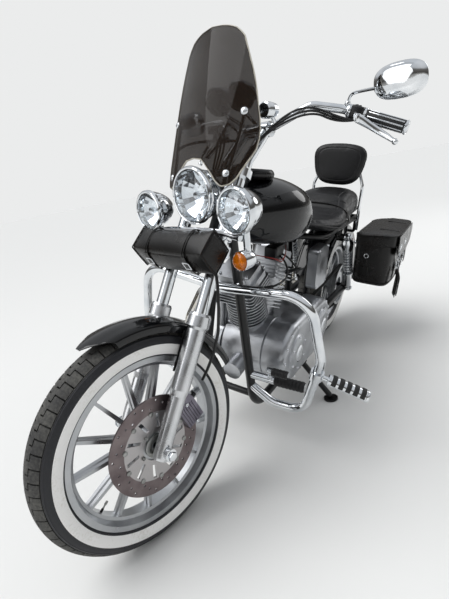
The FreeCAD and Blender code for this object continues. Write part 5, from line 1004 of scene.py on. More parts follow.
def apply_modifiers(thing):
    """Turns what the modifiers show into the piece's own mesh."""
    graph = bpy.context.evaluated_depsgraph_get()
    made = bpy.data.meshes.new_from_object(thing.evaluated_get(graph))
    old = thing.data
    thing.modifiers.clear()
    thing.data = made
    bpy.data.meshes.remove(old)


def cushion(name, bm, space, body, finish, replaces, voxel, cap, seams):
    """A padded piece: a closed form blown up as cloth, with its seams drawn in afterwards.
    A seam is (near, width, depth): near gives a place's distance to the seam line, in the piece's own frame."""
    thing = shown(name, meshed(name, placed(bm, space)))
    swell(thing, voxel, cap)
    back = space.inverted()
    shaped = bmesh.new()
    shaped.from_mesh(thing.data)
    bmesh.ops.smooth_vert(shaped, verts=shaped.verts, factor=0.5, use_axis_x=True, use_axis_y=True, use_axis_z=True)
    bmesh.ops.subdivide_edges(shaped, edges=shaped.edges, cuts=1, use_grid_fill=True)
    bmesh.ops.smooth_vert(shaped, verts=shaped.verts, factor=0.5, use_axis_x=True, use_axis_y=True, use_axis_z=True)
    shaped.normal_update()
    for vert in shaped.verts:
        place = back @ vert.co
        for near, width, depth in seams:
            distance = near(place)
            if distance < width:
                vert.co -= vert.normal * depth * 0.001 * (1 - distance / width) ** 1.5
    for face in shaped.faces:
        face.smooth = True
    shaped.to_mesh(thing.data)
    shaped.free()
    thing.data.materials.clear()
    thing.data.materials.append(FINISH[finish])
    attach(thing, body)
    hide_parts(*replaces)


def blended(rows, steps):
    """Rows of numbers made smooth: each interval gets steps rows on a curve through the given ones."""
    made = []
    padded = [rows[0]] + list(rows) + [rows[-1]]
    for a, b, c, d in zip(padded, padded[1:], padded[2:], padded[3:]):
        for i in range(steps):
            t = i / steps
            made.append([0.5 * (2 * q + (r - p) * t + (2 * p - 5 * q + 4 * r - s) * t * t
                                + (3 * q - p - 3 * r + s) * t ** 3) for p, q, r, s in zip(a, b, c, d)])
    made.append(list(rows[-1]))
    return made


def soft_box(turn, squareness):
    """A point round a rounded square of unit size; 2 is a circle and more is squarer."""
    angle = turn * math.tau
    c, s = math.cos(angle), math.sin(angle)
    power = 2 / squareness
    return math.copysign(abs(c) ** power, c), math.copysign(abs(s) ** power, s)


SADDLE = [  # forward, half width, lowest, highest, crown's squareness
    (687, 58, 794, 822, 2.2),
    (640, 98, 780, 812, 2.3),
    (580, 132, 765, 801, 2.5),
    (510, 158, 744, 794, 2.7),
    (430, 172, 725, 790, 2.9),
    (350, 172, 715, 796, 3.0),
    (300, 170, 713.4, 811, 3.0),
    (262, 158, 713.4, 838, 3.0),
    (232, 147, 713.4, 854, 3.0),
    (140, 140, 713.4, 864, 3.0),
    (40, 134, 713.4, 864, 3.0),
    (-50, 124, 713.4, 860, 2.9),
    (-94, 108, 716, 846, 2.7),
]


class CRUISER_OT_saddle(bpy.types.Operator):
    """Upholsters the two-up saddle, its rider's seat scooped and its passenger's raised, with welts and a strap"""
    bl_idname = "cruiser.saddle"
    bl_label = "Saddle"

    def execute(self, context):
        def at(row, turn):
            forward, half, low, high, square = row
            x, y = soft_box(turn, square)
            middle = low + (high - low) * 0.42
            dip = 7 * (1 - x * x) if y > 0 and forward > 300 else 0
            return (forward, x * (half - 3), middle + y * ((high - 3 - middle) if y > 0 else (middle - low)) - dip)

        skin = lofted(ringed(blended(SADDLE, 4), 40, at))
        profile = blended(SADDLE, 8)

        def nearest(place):
            return min(profile, key=lambda row: abs(row[0] - place.x))

        def side_seam(place):
            row = nearest(place)
            return abs(place.z - (row[2] + (row[3] - row[2]) * 0.62)) if abs(place.y) > row[1] * 0.6 else 99

        def cross_seam(at_forward, bow):
            def near(place):
                return abs(place.x - at_forward - bow * (abs(place.y) / 150) ** 2) if place.z > 760 else 99
            return near

        def panel_seam(place):
            row = nearest(place)
            on_top = place.z > row[2] + (row[3] - row[2]) * 0.6 and place.x < 640
            return abs(abs(place.y) - row[1] * 0.62) if on_top else 99

        seams = [(side_seam, 5, 2.6), (panel_seam, 5, 2.4), (cross_seam(286, -40), 6, 3),
                 (cross_seam(120, 10), 5, 2.2), (cross_seam(10, 10), 5, 2.2), (cross_seam(470, -24), 5, 2.2),
                 (cross_seam(400, -24), 5, 2.2)]
        cushion("saddle_cushion", skin, BIKE, "frame", "vinyl", ["saddle"], 6, 8, seams)
        parts = []
        for sign in SIDES.values():
            path = [(row[0], sign * (row[1] - 2), row[2] + (row[3] - row[2]) * 0.30) for row in profile[2:-2]]
            parts.append(tube(path, 3.0, sides=2))
        piece("saddle_welts", gathered(parts), BIKE, "frame", ["black_plastic"], crease=60)
        row = nearest(Vector((286, 0, 0)))
        arch = []
        for i in range(17):
            x, y = soft_box(0.5 * i / 16, 3.0)
            arch.append((286, (row[1] + 3) * x, 740 + (row[3] + 3 - 740) * y))
        piece("saddle_strap", band(arch, 24, 3, (1, 0, 0)), BIKE, "frame", ["leather"])
        return {"FINISHED"}


class CRUISER_OT_backrest(bpy.types.Operator):
    """Upholsters the backrest pad and bolts it to its bar"""
    bl_idname = "cruiser.backrest"
    bl_label = "Backrest"

    def execute(self, context):
        place = BIKE @ Matrix.Translation((-18, 0, 978)) @ Matrix.Rotation(math.radians(-8), 4, "Y")
        half_wide, half_high, half_deep = 149, 104, 26

        def at(row, turn):
            depth, share, pull = row
            x, y = soft_box(turn, 3.4)
            narrow = 1 - 0.26 * ((1 - y) / 2) ** 1.4
            return (depth, x * half_wide * share * narrow, y * half_high * share - pull)

        rows = [(-half_deep, 0.55, 0), (-half_deep, 0.88, 0), (-half_deep * 0.72, 0.98, 0), (0, 1.0, 0),
                (half_deep * 0.5, 0.97, 0), (half_deep * 0.92, 0.86, 0), (half_deep * 1.04, 0.6, 0),
                (half_deep * 1.1, 0.3, 0)]
        skin = lofted(ringed(rows, 48, at))

        def rim_seam(spot):
            return abs(spot.x - half_deep * 0.34) if abs(spot.x) < 24 else 99

        def face_seam(spot):
            narrow = 1 - 0.26 * max(0, (1 - spot.z / half_high) / 2) ** 1.4
            squared = (abs(spot.y / (half_wide * 0.8 * narrow)) ** 3.2
                       + abs(spot.z / (half_high * 0.78)) ** 3.2) ** (1 / 3.2)
            return abs(squared - 1) * 110 if spot.x > 6 else 99

        cushion("backrest_cushion", skin, place, "frame", "vinyl", ["backrest_pad"], 5, 7,
                [(rim_seam, 5, 2.4), (face_seam, 5, 2.0)])
        parts = [block((-38, -70, -60), (-30, 70, 40), 3)]
        for y in (-48, 48):
            for z in (-40, 20):
                parts.append(bolt((-38, y, z), (-1, 0, 0), 6, 5))
        piece("backrest_plate", gathered(parts), place, "frame", ["satin_black"])
        return {"FINISHED"}


class CRUISER_OT_fork_bag(bpy.types.Operator):
    """Sews the tool roll below the headlamp, with its straps and buckles"""
    bl_idname = "cruiser.fork_bag"
    bl_label = "Tool roll"

    def execute(self, context):
        place = FORK @ Matrix.Translation((72, 0, 548)) @ Matrix.Rotation(math.radians(24), 4, "Y")
        half_long, half_high, half_deep = 158, 60, 50

        def at(row, turn):
            along, share, square = row
            x, z = soft_box(turn, square)
            sag = 4 * (1 - (along / half_long) ** 2)
            return (x * half_deep * share, along, z * half_high * share - sag)

        rows = []
        for along, share, square in ((158, 0.5, 1.02), (158, 0.94, 1.02), (154, 0.98, 1.04), (130, 0.98, 1.14),
                                     (100, 0.97, 1.36), (60, 0.97, 1.6)):
            rows.append((-along, share, square))
        rows += [(0, 0.97, 1.7)] + [(-along, share, square) for along, share, square in reversed(rows)]
        skin = lofted(ringed(rows, 48, at))
        seams = [(lambda spot: abs(spot.z + 12) if spot.x > 0 and abs(spot.y) < 90 else 99, 4, 1.6)]
        cushion("fork_bag_roll", skin, place, "steering", "leather", ["fork_bag"], 4, 5, seams)

        def round_roll(y, steps, square, clear, sag, first=0.0, share=1.0):
            """Points round the roll, clear of its skin."""
            sides = [soft_box(first + share * i / steps, square) for i in range(steps + 1)]
            return [(x * (half_deep + clear), y, z * (half_high + clear) - sag) for x, z in sides]

        parts = []
        for end in (-1, 1):
            parts.append(tube(round_roll(end * (half_long - 3), 48, 1.04, 0.5, 0), 2.2, smooth=False, sides=2))
            for y in (end * 88, end * 80):
                parts.append(band(round_roll(y, 32, 1.46, 2, 3), 3.4, 2.2, (0, 1, 0)))
            parts.append(band(round_roll(end * 84, 12, 1.46, 4, 3, 0.76, 0.2), 16, 2.2, (0, 1, 0)))
            parts += buckle((43, end * 84, -29), (30, end * 84, -46), (0, 11, 0), 2.0, 12)
        piece("fork_bag_straps", gathered(parts), place, "steering", ["leather", "chrome"])
        return {"FINISHED"}


def bag_at(height, turn, inset=0.0):
    """A point of the bag's wall, at a height and part of the way round."""
    share = (height - BAG_LOW) / (BAG_TOP - BAG_LOW)
    x, y = soft_box(turn, 5.0)
    belly = 1 - 0.03 * (1 - share) ** 2
    grow = 1.0 - 0.05 * (1 - min(share * 5, 1)) ** 2
    outer = 95 * grow + 4 * math.sin(math.pi * share)
    return (BAG_MIDDLE + x * (BAG_HALF - inset) * grow * belly,
            BAG_OUT + y * ((outer if y > 0 else 95 * grow) - inset), height)


def bag_parts():
    """The left saddlebag: its open box with piping, its straps, buckles and studs, and a lace on a ring."""
    heights = [BAG_LOW, BAG_LOW + 5, BAG_LOW + 16, BAG_LOW + 40, BAG_LOW + 90, BAG_LOW + 150, BAG_LOW + 200, BAG_TOP]
    wall = lofted(ringed(heights, 64, bag_at), capped=False)
    floor = [e for e in wall.edges if e.is_boundary and e.verts[0].co.z < BAG_LOW + 1]
    bmesh.ops.contextual_create(wall, geom=floor)
    bmesh.ops.recalc_face_normals(wall, faces=wall.faces)
    bmesh.ops.solidify(wall, geom=wall.faces[:], thickness=6)
    parts = [wall]
    for height, reach, thick in ((BAG_LOW + 12, -1.5, 3.4), (BAG_TOP - 5, -0.8, 2.8)):
        loop = [Vector(bag_at(height, i / 48, reach)) for i in range(49)]
        parts.append(tube(loop, thick, smooth=False, sides=2))
    for x in STRAP_PLACES:
        path = [(x, 383, 566), (x, 388, 520), (x, 385, 470), (x, 377, 441), (x, 348, 433.5), (x, 300, 432.5)]
        parts.append(band(path, 30, 3, (1, 0, 0)))
        parts += buckle((x, 393, 518), (x, 393, 552), (19, 0, 0), 2.4, 10)
        parts.append((bar((x, 393, 518), (x, 396, 552), 1.8, segments=10), 1))
        for z in (502, 488, 474):
            parts.append((turned([(0, 2.4), (2.6, 2), (3.2, 0)], 12), 1,
                          Matrix.Translation((x, 388.5, z)) @ AXLE_TURN))
    # A ring with a lace on the front face
    hoop = ellipse((259, 264, 585), (0, 10, 0), (0, 0, 10))
    parts.append((tube(hoop, 2.4, smooth=False, sides=2), 1))
    parts.append(band([(256.5, 262, 610), (259.5, 263, 598), (258.5, 264, 586)], 14, 2, (0, 1, 0)))
    parts.append(tube([(258.5, 267, 577), (258, 271, 550), (256, 278, 512), (254, 288, 478)], 3.6, sides=2))
    return parts


def lid_at(row, turn):
    """A point of the lid's rounded top."""
    height, inset = row
    x, y = soft_box(turn, 6.0)
    return (BAG_MIDDLE + x * (BAG_HALF + 6.5 - inset), 294 + y * (102 - inset), height)


def crown(y):
    """How far the padded lid stands up: least at its hinge."""
    return 15 * min(1, max(0, (y - 200) / 90))


def lid_parts():
    """The left lid: its padded top and skirt, its flap, straps and conchos, and the tassel on its chain."""
    rows = [(672.6, 0), (676, -0.4), (680, 2), (683, 10), (685, 28), (686, 50), (686.4, 74)]
    top_skin = lofted(ringed(rows, 56, lid_at))
    for vert in top_skin.verts:
        if vert.co.z > 675:
            vert.co.z += crown(vert.co.y)
    parts = [top_skin]
    edge = [Vector(lid_at((0, -0.6), -0.2 + 0.9 * i / 44)) for i in range(45)]
    for lift, drop in ((6, 1), (-30, 0)):
        hem = [(spot.x, spot.y, 673 + lift + drop * crown(spot.y)) for spot in edge]
        parts.append(tube(hem, 2.2, smooth=False, sides=2))
    skirt = [(spot.x, spot.y, 660) for spot in edge]
    parts.append(band(skirt, 36, 2.6, (0, 0, 1)))
    flap = bmesh.new()
    bmesh.ops.create_grid(flap, x_segments=20, y_segments=6, size=0.5)
    for vert in flap.verts:
        along, share = vert.co.x + 0.5, 0.5 - vert.co.y
        drop = 84 + 34 * (1 - abs(2 * along - 1) ** 2.6)
        vert.co = (-155 + 380 * along, 396 + 2.5 * min(1, share * 3) - 1.5 * share, 690 - drop * share)
    bmesh.ops.recalc_face_normals(flap, faces=flap.faces)
    bmesh.ops.solidify(flap, geom=flap.faces[:], thickness=4)
    parts.append(flap)
    hem = [(-155 + 380 * i / 40, 397.5, 690 - 84 - 34 * (1 - abs(i / 20 - 1) ** 2.6)) for i in range(41)]
    parts.append(tube(hem, 2.6, smooth=False, sides=2))
    for x in STRAP_PLACES:
        path = [(x, 290, 703), (x, 340, 702.5), (x, 380, 700), (x, 396, 690), (x, 401, 664), (x, 401, 604),
                (x, 398, 560), (x, 399, 524), (x, 397, 496)]
        parts.append(band(path, 26, 3, (1, 0, 0)))
    for x in (35, 165):
        spot = Matrix.Translation((x, 398.5, 628)) @ AXLE_TURN
        parts.append((turned([(0, 7), (5, 6.6), (8, 5), (13, 4.6), (16, 3), (17.5, 0)], 36), 1, spot))
        for stud in ellipse((x, 404, 628), (12.6, 0, 0), (0, 0, 12.6), 6)[:-1]:
            parts.append((ball(2, stud, detail=1), 1))
    # Chain links hold the long tassel
    for x, z, turn in ((200, 600, 0.4), (193, 574, 1.2), (186, 548, 0.3), (180, 524, 1.3)):
        link = ellipse((x, 406, z), (7 * math.cos(turn), 7 * math.sin(turn), 0), (0, 0, 14))
        parts.append((tube(link, 1.8, smooth=False, sides=2), 1))
    random.seed(7)
    for i in range(11):
        x = 180 + (i - 5) * 2.6
        sway = random.uniform(-6, 6)
        deep = 404 + i % 4 * 6
        path = [(180 + (i - 5) * 0.9, 405 + i % 4, 518), (x, deep + 2, 486),
                (x + sway * 0.5, deep, 440), (x + sway - 6, deep - 2, 386 + random.uniform(-10, 10))]
        parts.append(tube(path, 2.4, resolution=3, sides=1))
    parts.append(tube([(180, 405, 520), (180, 406, 496)], 9, smooth=False, sides=3))
    return parts


class CRUISER_OT_saddlebags(bpy.types.Operator):
    """Sews the saddlebags and their lids, with straps, buckles, conchos and tassels"""
    bl_idname = "cruiser.saddlebags"
    bl_label = "Saddlebags"

    def execute(self, context):
        for side, sign in SIDES.items():
            mirror = Matrix.Diagonal((1, sign, 1, 1))
            piece(f"{side}_bag_leather", gathered(bag_parts()), BIKE @ mirror, "frame",
                  ["leather", "chrome"], [f"{side}_bag"])
            piece(f"{side}_lid_leather", gathered(lid_parts()), BIKE @ mirror, f"{side}_bag_lid",
                  ["leather", "chrome"], [f"{side}_bag_lid"])
        return {"FINISHED"}


def grip_parts(along):
    """A ribbed grip at the bar's end, with its cap, its rings and the switch pod."""
    parts = []
    sleeve = [(12.9, 3), (17, 3), (17.6, 5), (17.6, 119), (17, 121), (12.9, 121)]
    parts.append((turned(sleeve, 36), 0, along))
    for turn in turns(8):
        parts.append((bar((16.6, 0, 10), (16.6, 0, 114), 2.3, segments=10, chamfer=0.6), 1, along @ turn))
    cap = [(0, -1.2), (12, -1.4), (13.4, 0), (15, 0), (16.4, -1.4), (19, -0.6), (20, 1.5), (20, 4.5),
           (18.6, 6), (17, 6)]
    parts.append((turned(cap, 36), 1, along))
    ring = [(12.9, 120), (18.6, 120), (20.6, 121.4), (20.6, 127), (18.6, 128.4), (12.9, 128.4)]
    parts.append((turned(ring, 36), 1, along))
    parts.append((block((-19, -21, 129), (22, 20, 166), 5, 3), 2, along))
    clamp = [(12.9, 166), (18.5, 166), (19.5, 168), (19.5, 176), (18.5, 178), (12.9, 178)]
    parts.append((turned(clamp, 32), 1, along))
    return parts


def lever_parts(sign, outer, root, perch):
    """A lever on its perch, two switches, and on the right the brake's reservoir."""
    parts = []
    tip = outer + Vector((50, -12 * sign, -34))
    parts.append((bar(root + Vector((12, 0, -2)), perch + Vector((8, 0, 0)), 10.5, 8.5, chamfer=1.5), 1))
    parts.append((bar(perch + Vector((2, 0, 12)), perch + Vector((2, 0, -12)), 7.5, chamfer=1), 1))

    def blade(row, turn):
        height, wide, thick, bow = row
        x, y = soft_box(turn, 3)
        return (x * thick + bow, y * wide, height)

    reach = (tip - perch).length
    rows = [(-8, 9, 5, 0), (0, 13, 7, 1), (reach * 0.3, 10.5, 6, 5), (reach * 0.7, 8.5, 5.2, 5),
            (reach * 0.94, 6, 4.6, 1), (reach, 5, 4.4, 0)]
    parts.append((lofted(ringed(blended(rows, 3), 20, blade)), 1, between(perch, tip)))
    parts.append((ball(8.6, tip), 1))
    for dx, dz in ((8, 20), (-10, 18)):
        spot = root + Vector((dx, 0, dz))
        parts.append(block(spot - Vector((6, 5, 3)), spot + Vector((6, 5, 4)), 1.5))
    if sign < 0:
        tank = root + Vector((26, 0, 26))
        parts.append((block(tank - Vector((24, 26, 14)), tank + Vector((22, 24, 14)), 5, 3), 2))
        parts.append((block(tank - Vector((20, 22, -13)), tank + Vector((18, 20, 17)), 2), 1))
    return parts


def mirror_parts(sign, outer, run):
    """An oval mirror: its chrome shell, its glass and its bent stem on the bar."""
    parts = []
    upward = (Vector((0, 0, 1)) - run * run.z).normalized()
    base = outer + run * 186
    centre = Vector((-690, 420 * sign, 889))
    face = levelled(Matrix.Translation(centre) @ facing(Vector((-1, 0, 0.1))))
    rows = [(-22, 0.3), (-21, 0.62), (-17, 0.86), (-9, 0.97), (0, 1.0), (2, 1.0), (3, 0.97), (2.4, 0.93)]

    def oval(row, turn):
        height, share = row
        x, y = soft_box(turn, 2.6)
        return (x * 71 * share, y * 45 * share, height)

    parts.append((lofted(ringed(rows, 48, oval)), 0, face))
    parts.append((lofted(ringed([(2.4, 0.925), (3.2, 0.9), (3.4, 0.5)], 48, oval)), 1, face))
    stem = [base + upward * 10, base + upward * 28, base + upward * 40,
            base + upward * 46 + Vector((0, 14 * sign, 1)), centre + Vector((17, -42 * sign, -10))]
    parts.append(tube(stem, 4.4))
    parts.append(bar(base + upward * 11, base + upward * 24, 9, 7, chamfer=1))
    return parts


def cable_runs(sign, perch, radius):
    """Three cables from the lever, over the bar and down behind the headlamp."""
    runs = []
    end = Vector((-382, 26 * sign, 640))
    exit_point = perch + Vector((2, -10 * sign, -4))
    for i in range(3):
        shift = Vector((0, (i - 1) * 9, i * 4))
        path = [exit_point, exit_point + Vector((26, -30 * sign, -2)) + shift,
                (-600, (200 - 12 * i) * sign, 850 + 12 * i), (-508 - 10 * i, (92 - 8 * i) * sign, 800),
                (-432, (60 - 10 * i) * sign, 700), end + shift * 0.5]
        runs.append(tube(path, radius, resolution=8))
    return runs


class CRUISER_OT_controls(bpy.types.Operator):
    """Makes grips, switch pods, levers, reservoirs, mirrors and control cables"""
    bl_idname = "cruiser.controls"
    bl_label = "Controls"

    def execute(self, context):
        parts, mirrors, cables = [], [], []
        for sign in SIDES.values():
            outer, elbow = flipped(GRIP_OUTER, sign), flipped(GRIP_ELBOW, sign)
            run = (elbow - outer).normalized()
            perch = outer + run * 128 + Vector((36, 0, -8))
            parts += grip_parts(between(outer, elbow))
            parts += lever_parts(sign, outer, outer + run * 147, perch)
            mirrors += mirror_parts(sign, outer, run)
            cables += cable_runs(sign, perch, context.scene.bike_sizes.cable_radius)
        piece("hand_controls", gathered(parts), LEVEL, "steering",
              ["grip_rubber", "chrome", "satin_black"], ["grips_levers"])
        piece("mirror_pair", gathered(mirrors), LEVEL, "steering", ["chrome", "mirror"], ["mirrors"])
        piece("control_cables", gathered(cables), LEVEL, "steering", ["cable"])
        return {"FINISHED"}


GAUGE_FINISHES = ["satin_black", "dial", "dial_mark", "chrome", "lens"]


def dial_marks(place, reach, lengths, low, high):
    """A dial's printed marks round its face, every fourth one long."""
    marks = []
    for i in range(DIAL_MARKS):
        mark = block((reach - lengths[i % 4 > 0], -0.7, low), (reach, 0.7, high))
        angle = math.radians(DIAL_START - DIAL_SWEEP * i / (DIAL_MARKS - 1))
        marks.append((mark, 2, place @ Matrix.Rotation(angle, 4, "Z")))
    return marks


class CRUISER_OT_gauges(bpy.types.Operator):
    """Builds the speedometer, the tachometer and the tank's cap and gauge"""
    bl_idname = "cruiser.gauges"
    bl_label = "Gauges"

    def execute(self, context):
        parts = []
        way = Vector((-0.55, 0, 0.835))
        for sign in SIDES.values():
            centre = Vector((-478, 46 * sign, 903))
            place = between(centre, centre + way)
            cup = [(0, -30), (14, -29.6), (24, -28), (32, -22), (37, -16), (39.5, -6), (40, 4), (40, 14), (42, 15),
                   (43, 16.5), (43, 25), (41.5, 28), (39, 29), (36.5, 27), (36, 22), (35.5, 20)]
            parts.append((turned(cup, 56), 0, place))
            parts.append((turned([(43.3, 17), (43.6, 18), (43.6, 24), (41.8, 28.6), (39, 29.6), (36.4, 27.6)], 56),
                          3, place))
            parts.append((turned([(0, 20), (35.8, 20)], 48), 1, place))
            parts += dial_marks(place, 32, (7, 4), 20.2, 20.6)
            needle = block((-6, -0.9, 22), (27, 0.9, 22.8))
            parts.append((needle, 2, place @ NEEDLE_TURN))
            parts.append((turned([(0, 24), (4, 23.6), (4.6, 20)], 24), 0, place))
            parts.append((turned([(0, 27.8), (20, 27.4), (36.4, 26)], 48), 4, place))
            parts.append((bar(centre - way * 22, Vector((-560, 26 * sign, 836)), 6.4), 3))
        parts.append((bar((-478, -46, 898), (-478, 46, 898), 6.4), 3))
        piece("gauge_pair", gathered(parts), LEVEL, "steering", GAUGE_FINISHES, ["gauges"])
        base = Vector((964, 0, 1001))
        place = between(base, base + Vector((-0.1, 0, 1)))
        cap = [(46, -6), (52, -5), (58, 2), (60.5, 8), (60.5, 14), (58, 20), (54, 25), (48, 28), (44, 27), (43, 24)]
        parts = [(turned(cap, 64), 0, place), (turned([(0, 23.6), (43.2, 23.6)], 56), 1, place),
                 (turned([(0, 27.6), (30, 27), (44, 25.4)], 56), 4, place)]
        parts += dial_marks(place, 39, (8, 4.5), 23.7, 24.2)
        parts.append((block((-7, -1, 24.4), (33, 1, 25)), 2, place @ NEEDLE_TURN))
        piece("tank_gauge", gathered(parts), BIKE, "frame", GAUGE_FINISHES, ["tank_console"])
        return {"FINISHED"}


class CRUISER_OT_shocks(bpy.types.Operator):
    """Winds the rear springs over their dampers"""
    bl_idname = "cruiser.shocks"
    bl_label = "Shocks"

    def execute(self, context):
        parts = []
        length = (SHOCK_TOP - SHOCK_LOW).length
        start, end = 119, length - 75
        coils, steps, ring, wire = 8, 24, 22, 5
        for sign in SIDES.values():
            low, high = flipped(SHOCK_LOW, sign), flipped(SHOCK_TOP, sign)
            place = between(low, high)
            body = [(0, 14), (12, 14), (17, 16), (18, 20), (18, 104), (20, 108), (29, 112), (29, 118), (26, 119),
                    (9, 119), (9, length - 76), (26, length - 75), (29, length - 74), (30, length - 60),
                    (30, length - 40), (28, length - 32), (20, length - 14), (0, length - 14)]
            parts.append((turned(body, 40), 0, place))
            coil = bmesh.new()
            bmesh.ops.create_circle(coil, segments=12, radius=wire, cap_ends=False)
            coil.transform(Matrix.Translation((ring, 0, start + wire)) @ Matrix.Rotation(math.radians(90), 4, "X"))
            rise = (end - start - 2 * wire) / (coils * steps)
            bmesh.ops.spin(coil, geom=coil.verts[:] + coil.edges[:], cent=(0, 0, 0), axis=(0, 0, 1),
                           dvec=(0, 0, rise), angle=math.tau * coils, steps=coils * steps, use_merge=False,
                           use_duplicate=False)
            bmesh.ops.recalc_face_normals(coil, faces=coil.faces)
            parts.append((coil, 0, place))
            for eye in (low, high):
                parts.append(bar(eye - Vector((0, 13, 0)), eye + Vector((0, 13, 0)), 17.8, segments=32,
                                 chamfer=1.5))
                parts.append((bar(eye + Vector((0, 12.6 * sign, 0)), eye + Vector((0, 14.6 * sign, 0)), 12,
                                  segments=24), 1))
                parts.append(bolt(eye + Vector((0, 14.4 * sign, 0)), (0, sign, 0), 9, 7))
        piece("shock_pair", gathered(parts), BIKE, "frame", ["chrome", "grip_rubber"], ["shocks"])
        return {"FINISHED"}


class CRUISER_OT_engine_fittings(bpy.types.Operator):
    """Adds the bolts of covers and cylinders, the primary's round caps, the plug leads, their coil and red wiring"""
    bl_idname = "cruiser.engine_fittings"
    bl_label = "Engine fittings"

    def execute(self, context):
        bolts, black, wires = [], [], []
        front_end = CRANK + Vector((0, PRIMARY_FACE, 0))
        rear_end = front_end - Vector((PRIMARY_LENGTH, 0, 0))
        for i in range(12):
            angle = math.tau * i / 12
            end = rear_end if math.cos(angle) < -0.01 else front_end
            spot = end + Vector((108 * math.cos(angle), -7, 108 * math.sin(angle)))
            bolts.append(bolt(spot, (0, 1, 0), 6, 7, socket=True))
        for end, reach in ((front_end, 65), (rear_end, 71)):
            for i in range(6):
                angle = math.tau * (i + 0.5) / 6
                spot = end + Vector((reach * math.cos(angle), 6.5, reach * math.sin(angle)))
                bolts.append(bolt(spot, (0, 1, 0), 4.6, 5, socket=True))
            place = Matrix.Translation(end + Vector((0, 13, 0))) @ AXLE_TURN
            bolts.append((turned([(0, 4.6), (22, 4.2), (30, 2.6), (34, 0), (36, -1)], 48), 0, place))
        for sign in (1, -1):
            up = Vector((sign * math.sin(CYLINDER_TILT), 0, math.cos(CYLINDER_TILT)))
            fore = Vector((math.cos(CYLINDER_TILT), 0, -sign * math.sin(CYLINDER_TILT)))
            base = CRANK + up * CYLINDER_BASE
            lid = base + up * 118
            for x in (-44, 44):
                for y in (-52, 52):
                    bolts.append(bolt(lid + fore * x + Vector((0, y, 0)) - up * 0.2, up, 5.4, 6, socket=True))
            for x in (-58, 58):
                for y in (-64, 64):
                    bolts.append(bolt(base + up * 87 + fore * x + Vector((0, y, 0)), up, 5, 5))
            plug = base + up * 34 + Vector((0, 72, 0))
            out = Vector((0.0, 0.9, 0.44)).normalized()
            black.append(bar(plug, plug + out * 26, 9, 7.5, chamfer=1))
            black.append(bar(plug + out * 24, plug + out * 52, 7.5, 6, chamfer=1))
            start = plug + out * 50
            black.append(tube([start, start + out * 24, (845 + sign * 46, 118, 640), (845 + sign * 16, 84, 700),
                               (845 + sign * 10, 40, 712)], 4, resolution=8))
        black.append(block((800, 8, 690), (890, 62, 742), 8, 3))
        piece("engine_bolts", gathered(bolts), BIKE, "frame", ["chrome"])
        piece("plug_leads", gathered(black), BIKE, "frame", ["cable"])
        for shift in (0, 5):
            wires.append(tube([(1035, 40 + shift, 748), (1000, 96 + shift, 738), (950, 112, 716 - shift * 2),
                               (900, 106, 744), (868, 84, 752)], 1.5, resolution=8))
        piece("red_wiring", gathered(wires), BIKE, "frame", ["red_wire"])
        parts = []
        for sign in SIDES.values():
            for forward, height in ((596, 670), (596, 505), (480, 505), (480, 670)):
                parts.append(bolt((forward, sign * 136, height), (0, sign, 0), 5, 4, socket=True))
        piece("side_cover_bolts", gathered(parts), BIKE, "frame", ["chrome"])
        return {"FINISHED"}


class CRUISER_OT_pegs(bpy.types.Operator):
    """Sleeves the pegs and pedals with ribbed rubber, and adds the pegs' caps, collars and bolts"""
    bl_idname = "cruiser.pegs"
    bl_label = "Pegs"

    def execute(self, context):
        rubbers, metal = [], []
        for sign in SIDES.values():
            low, high = (flipped(point, sign) for point in PEG_LEG)
            root = low + (high - low) * 0.76
            out = Vector((-0.2, 0.945 * sign, -0.266)).normalized()
            place = between(root, root + out)
            for i in range(5):
                level = 50 + i * 24
                inlay = turned([(19.1, level), (21.6, level + 0.8), (22.2, level + 3), (22.2, level + 13),
                                (21.6, level + 15.2), (19.1, level + 16), (18, level + 8), (19.1, level)], 32)
                bmesh.ops.bisect_plane(inlay, geom=inlay.verts[:] + inlay.edges[:] + inlay.faces[:], dist=0.01,
                                       clear_outer=True, plane_co=(0, -3, 0), plane_no=(0, -1, 0))
                bmesh.ops.holes_fill(inlay, edges=[e for e in inlay.edges if e.is_boundary])
                bmesh.ops.recalc_face_normals(inlay, faces=inlay.faces)
                rubbers.append((inlay, 0, place))
            metal.append((turned([(0, 177), (12, 176.4), (18, 174), (20, 170), (20, 166), (19.1, 165)], 32), 0,
                          place))
            metal.append((turned([(19.1, 38.4), (21, 39), (21, 44), (19.1, 45)], 32), 0, place))
            for side in (-1, 1):
                metal.append((bolt((0, 20 * side, 0), (0, side, 0), 6, 7), 0, place))
            knee = flipped(PEDAL_KNEE, sign)
            ribs = ribbed((16.4, 20), (16.4, 130), 24, 13, 8, ((19, 0), (19.4, 1), (19.4, 8), (19, 9), (17.4, 10)))
            rubbers.append((turned(ribs, 28), 0, between(knee, knee + Vector((-12, 130 * sign, 2)))))
            toe = knee + Vector((54, 22 * sign, 70))
            ribs = ribbed((12, 8), (12, 66), 12, 11, 5, ((14, 0), (14.3, 1), (14.3, 6), (14, 7), (12.8, 8)))
            rubbers.append((turned(ribs, 24), 0, between(toe, toe + Vector((-3, 66 * sign, 1)))))
        piece("peg_rubbers", gathered(rubbers), BIKE, "frame", ["grip_rubber"])
        piece("peg_trim", gathered(metal), BIKE, "frame", ["chrome"])
        return {"FINISHED"}


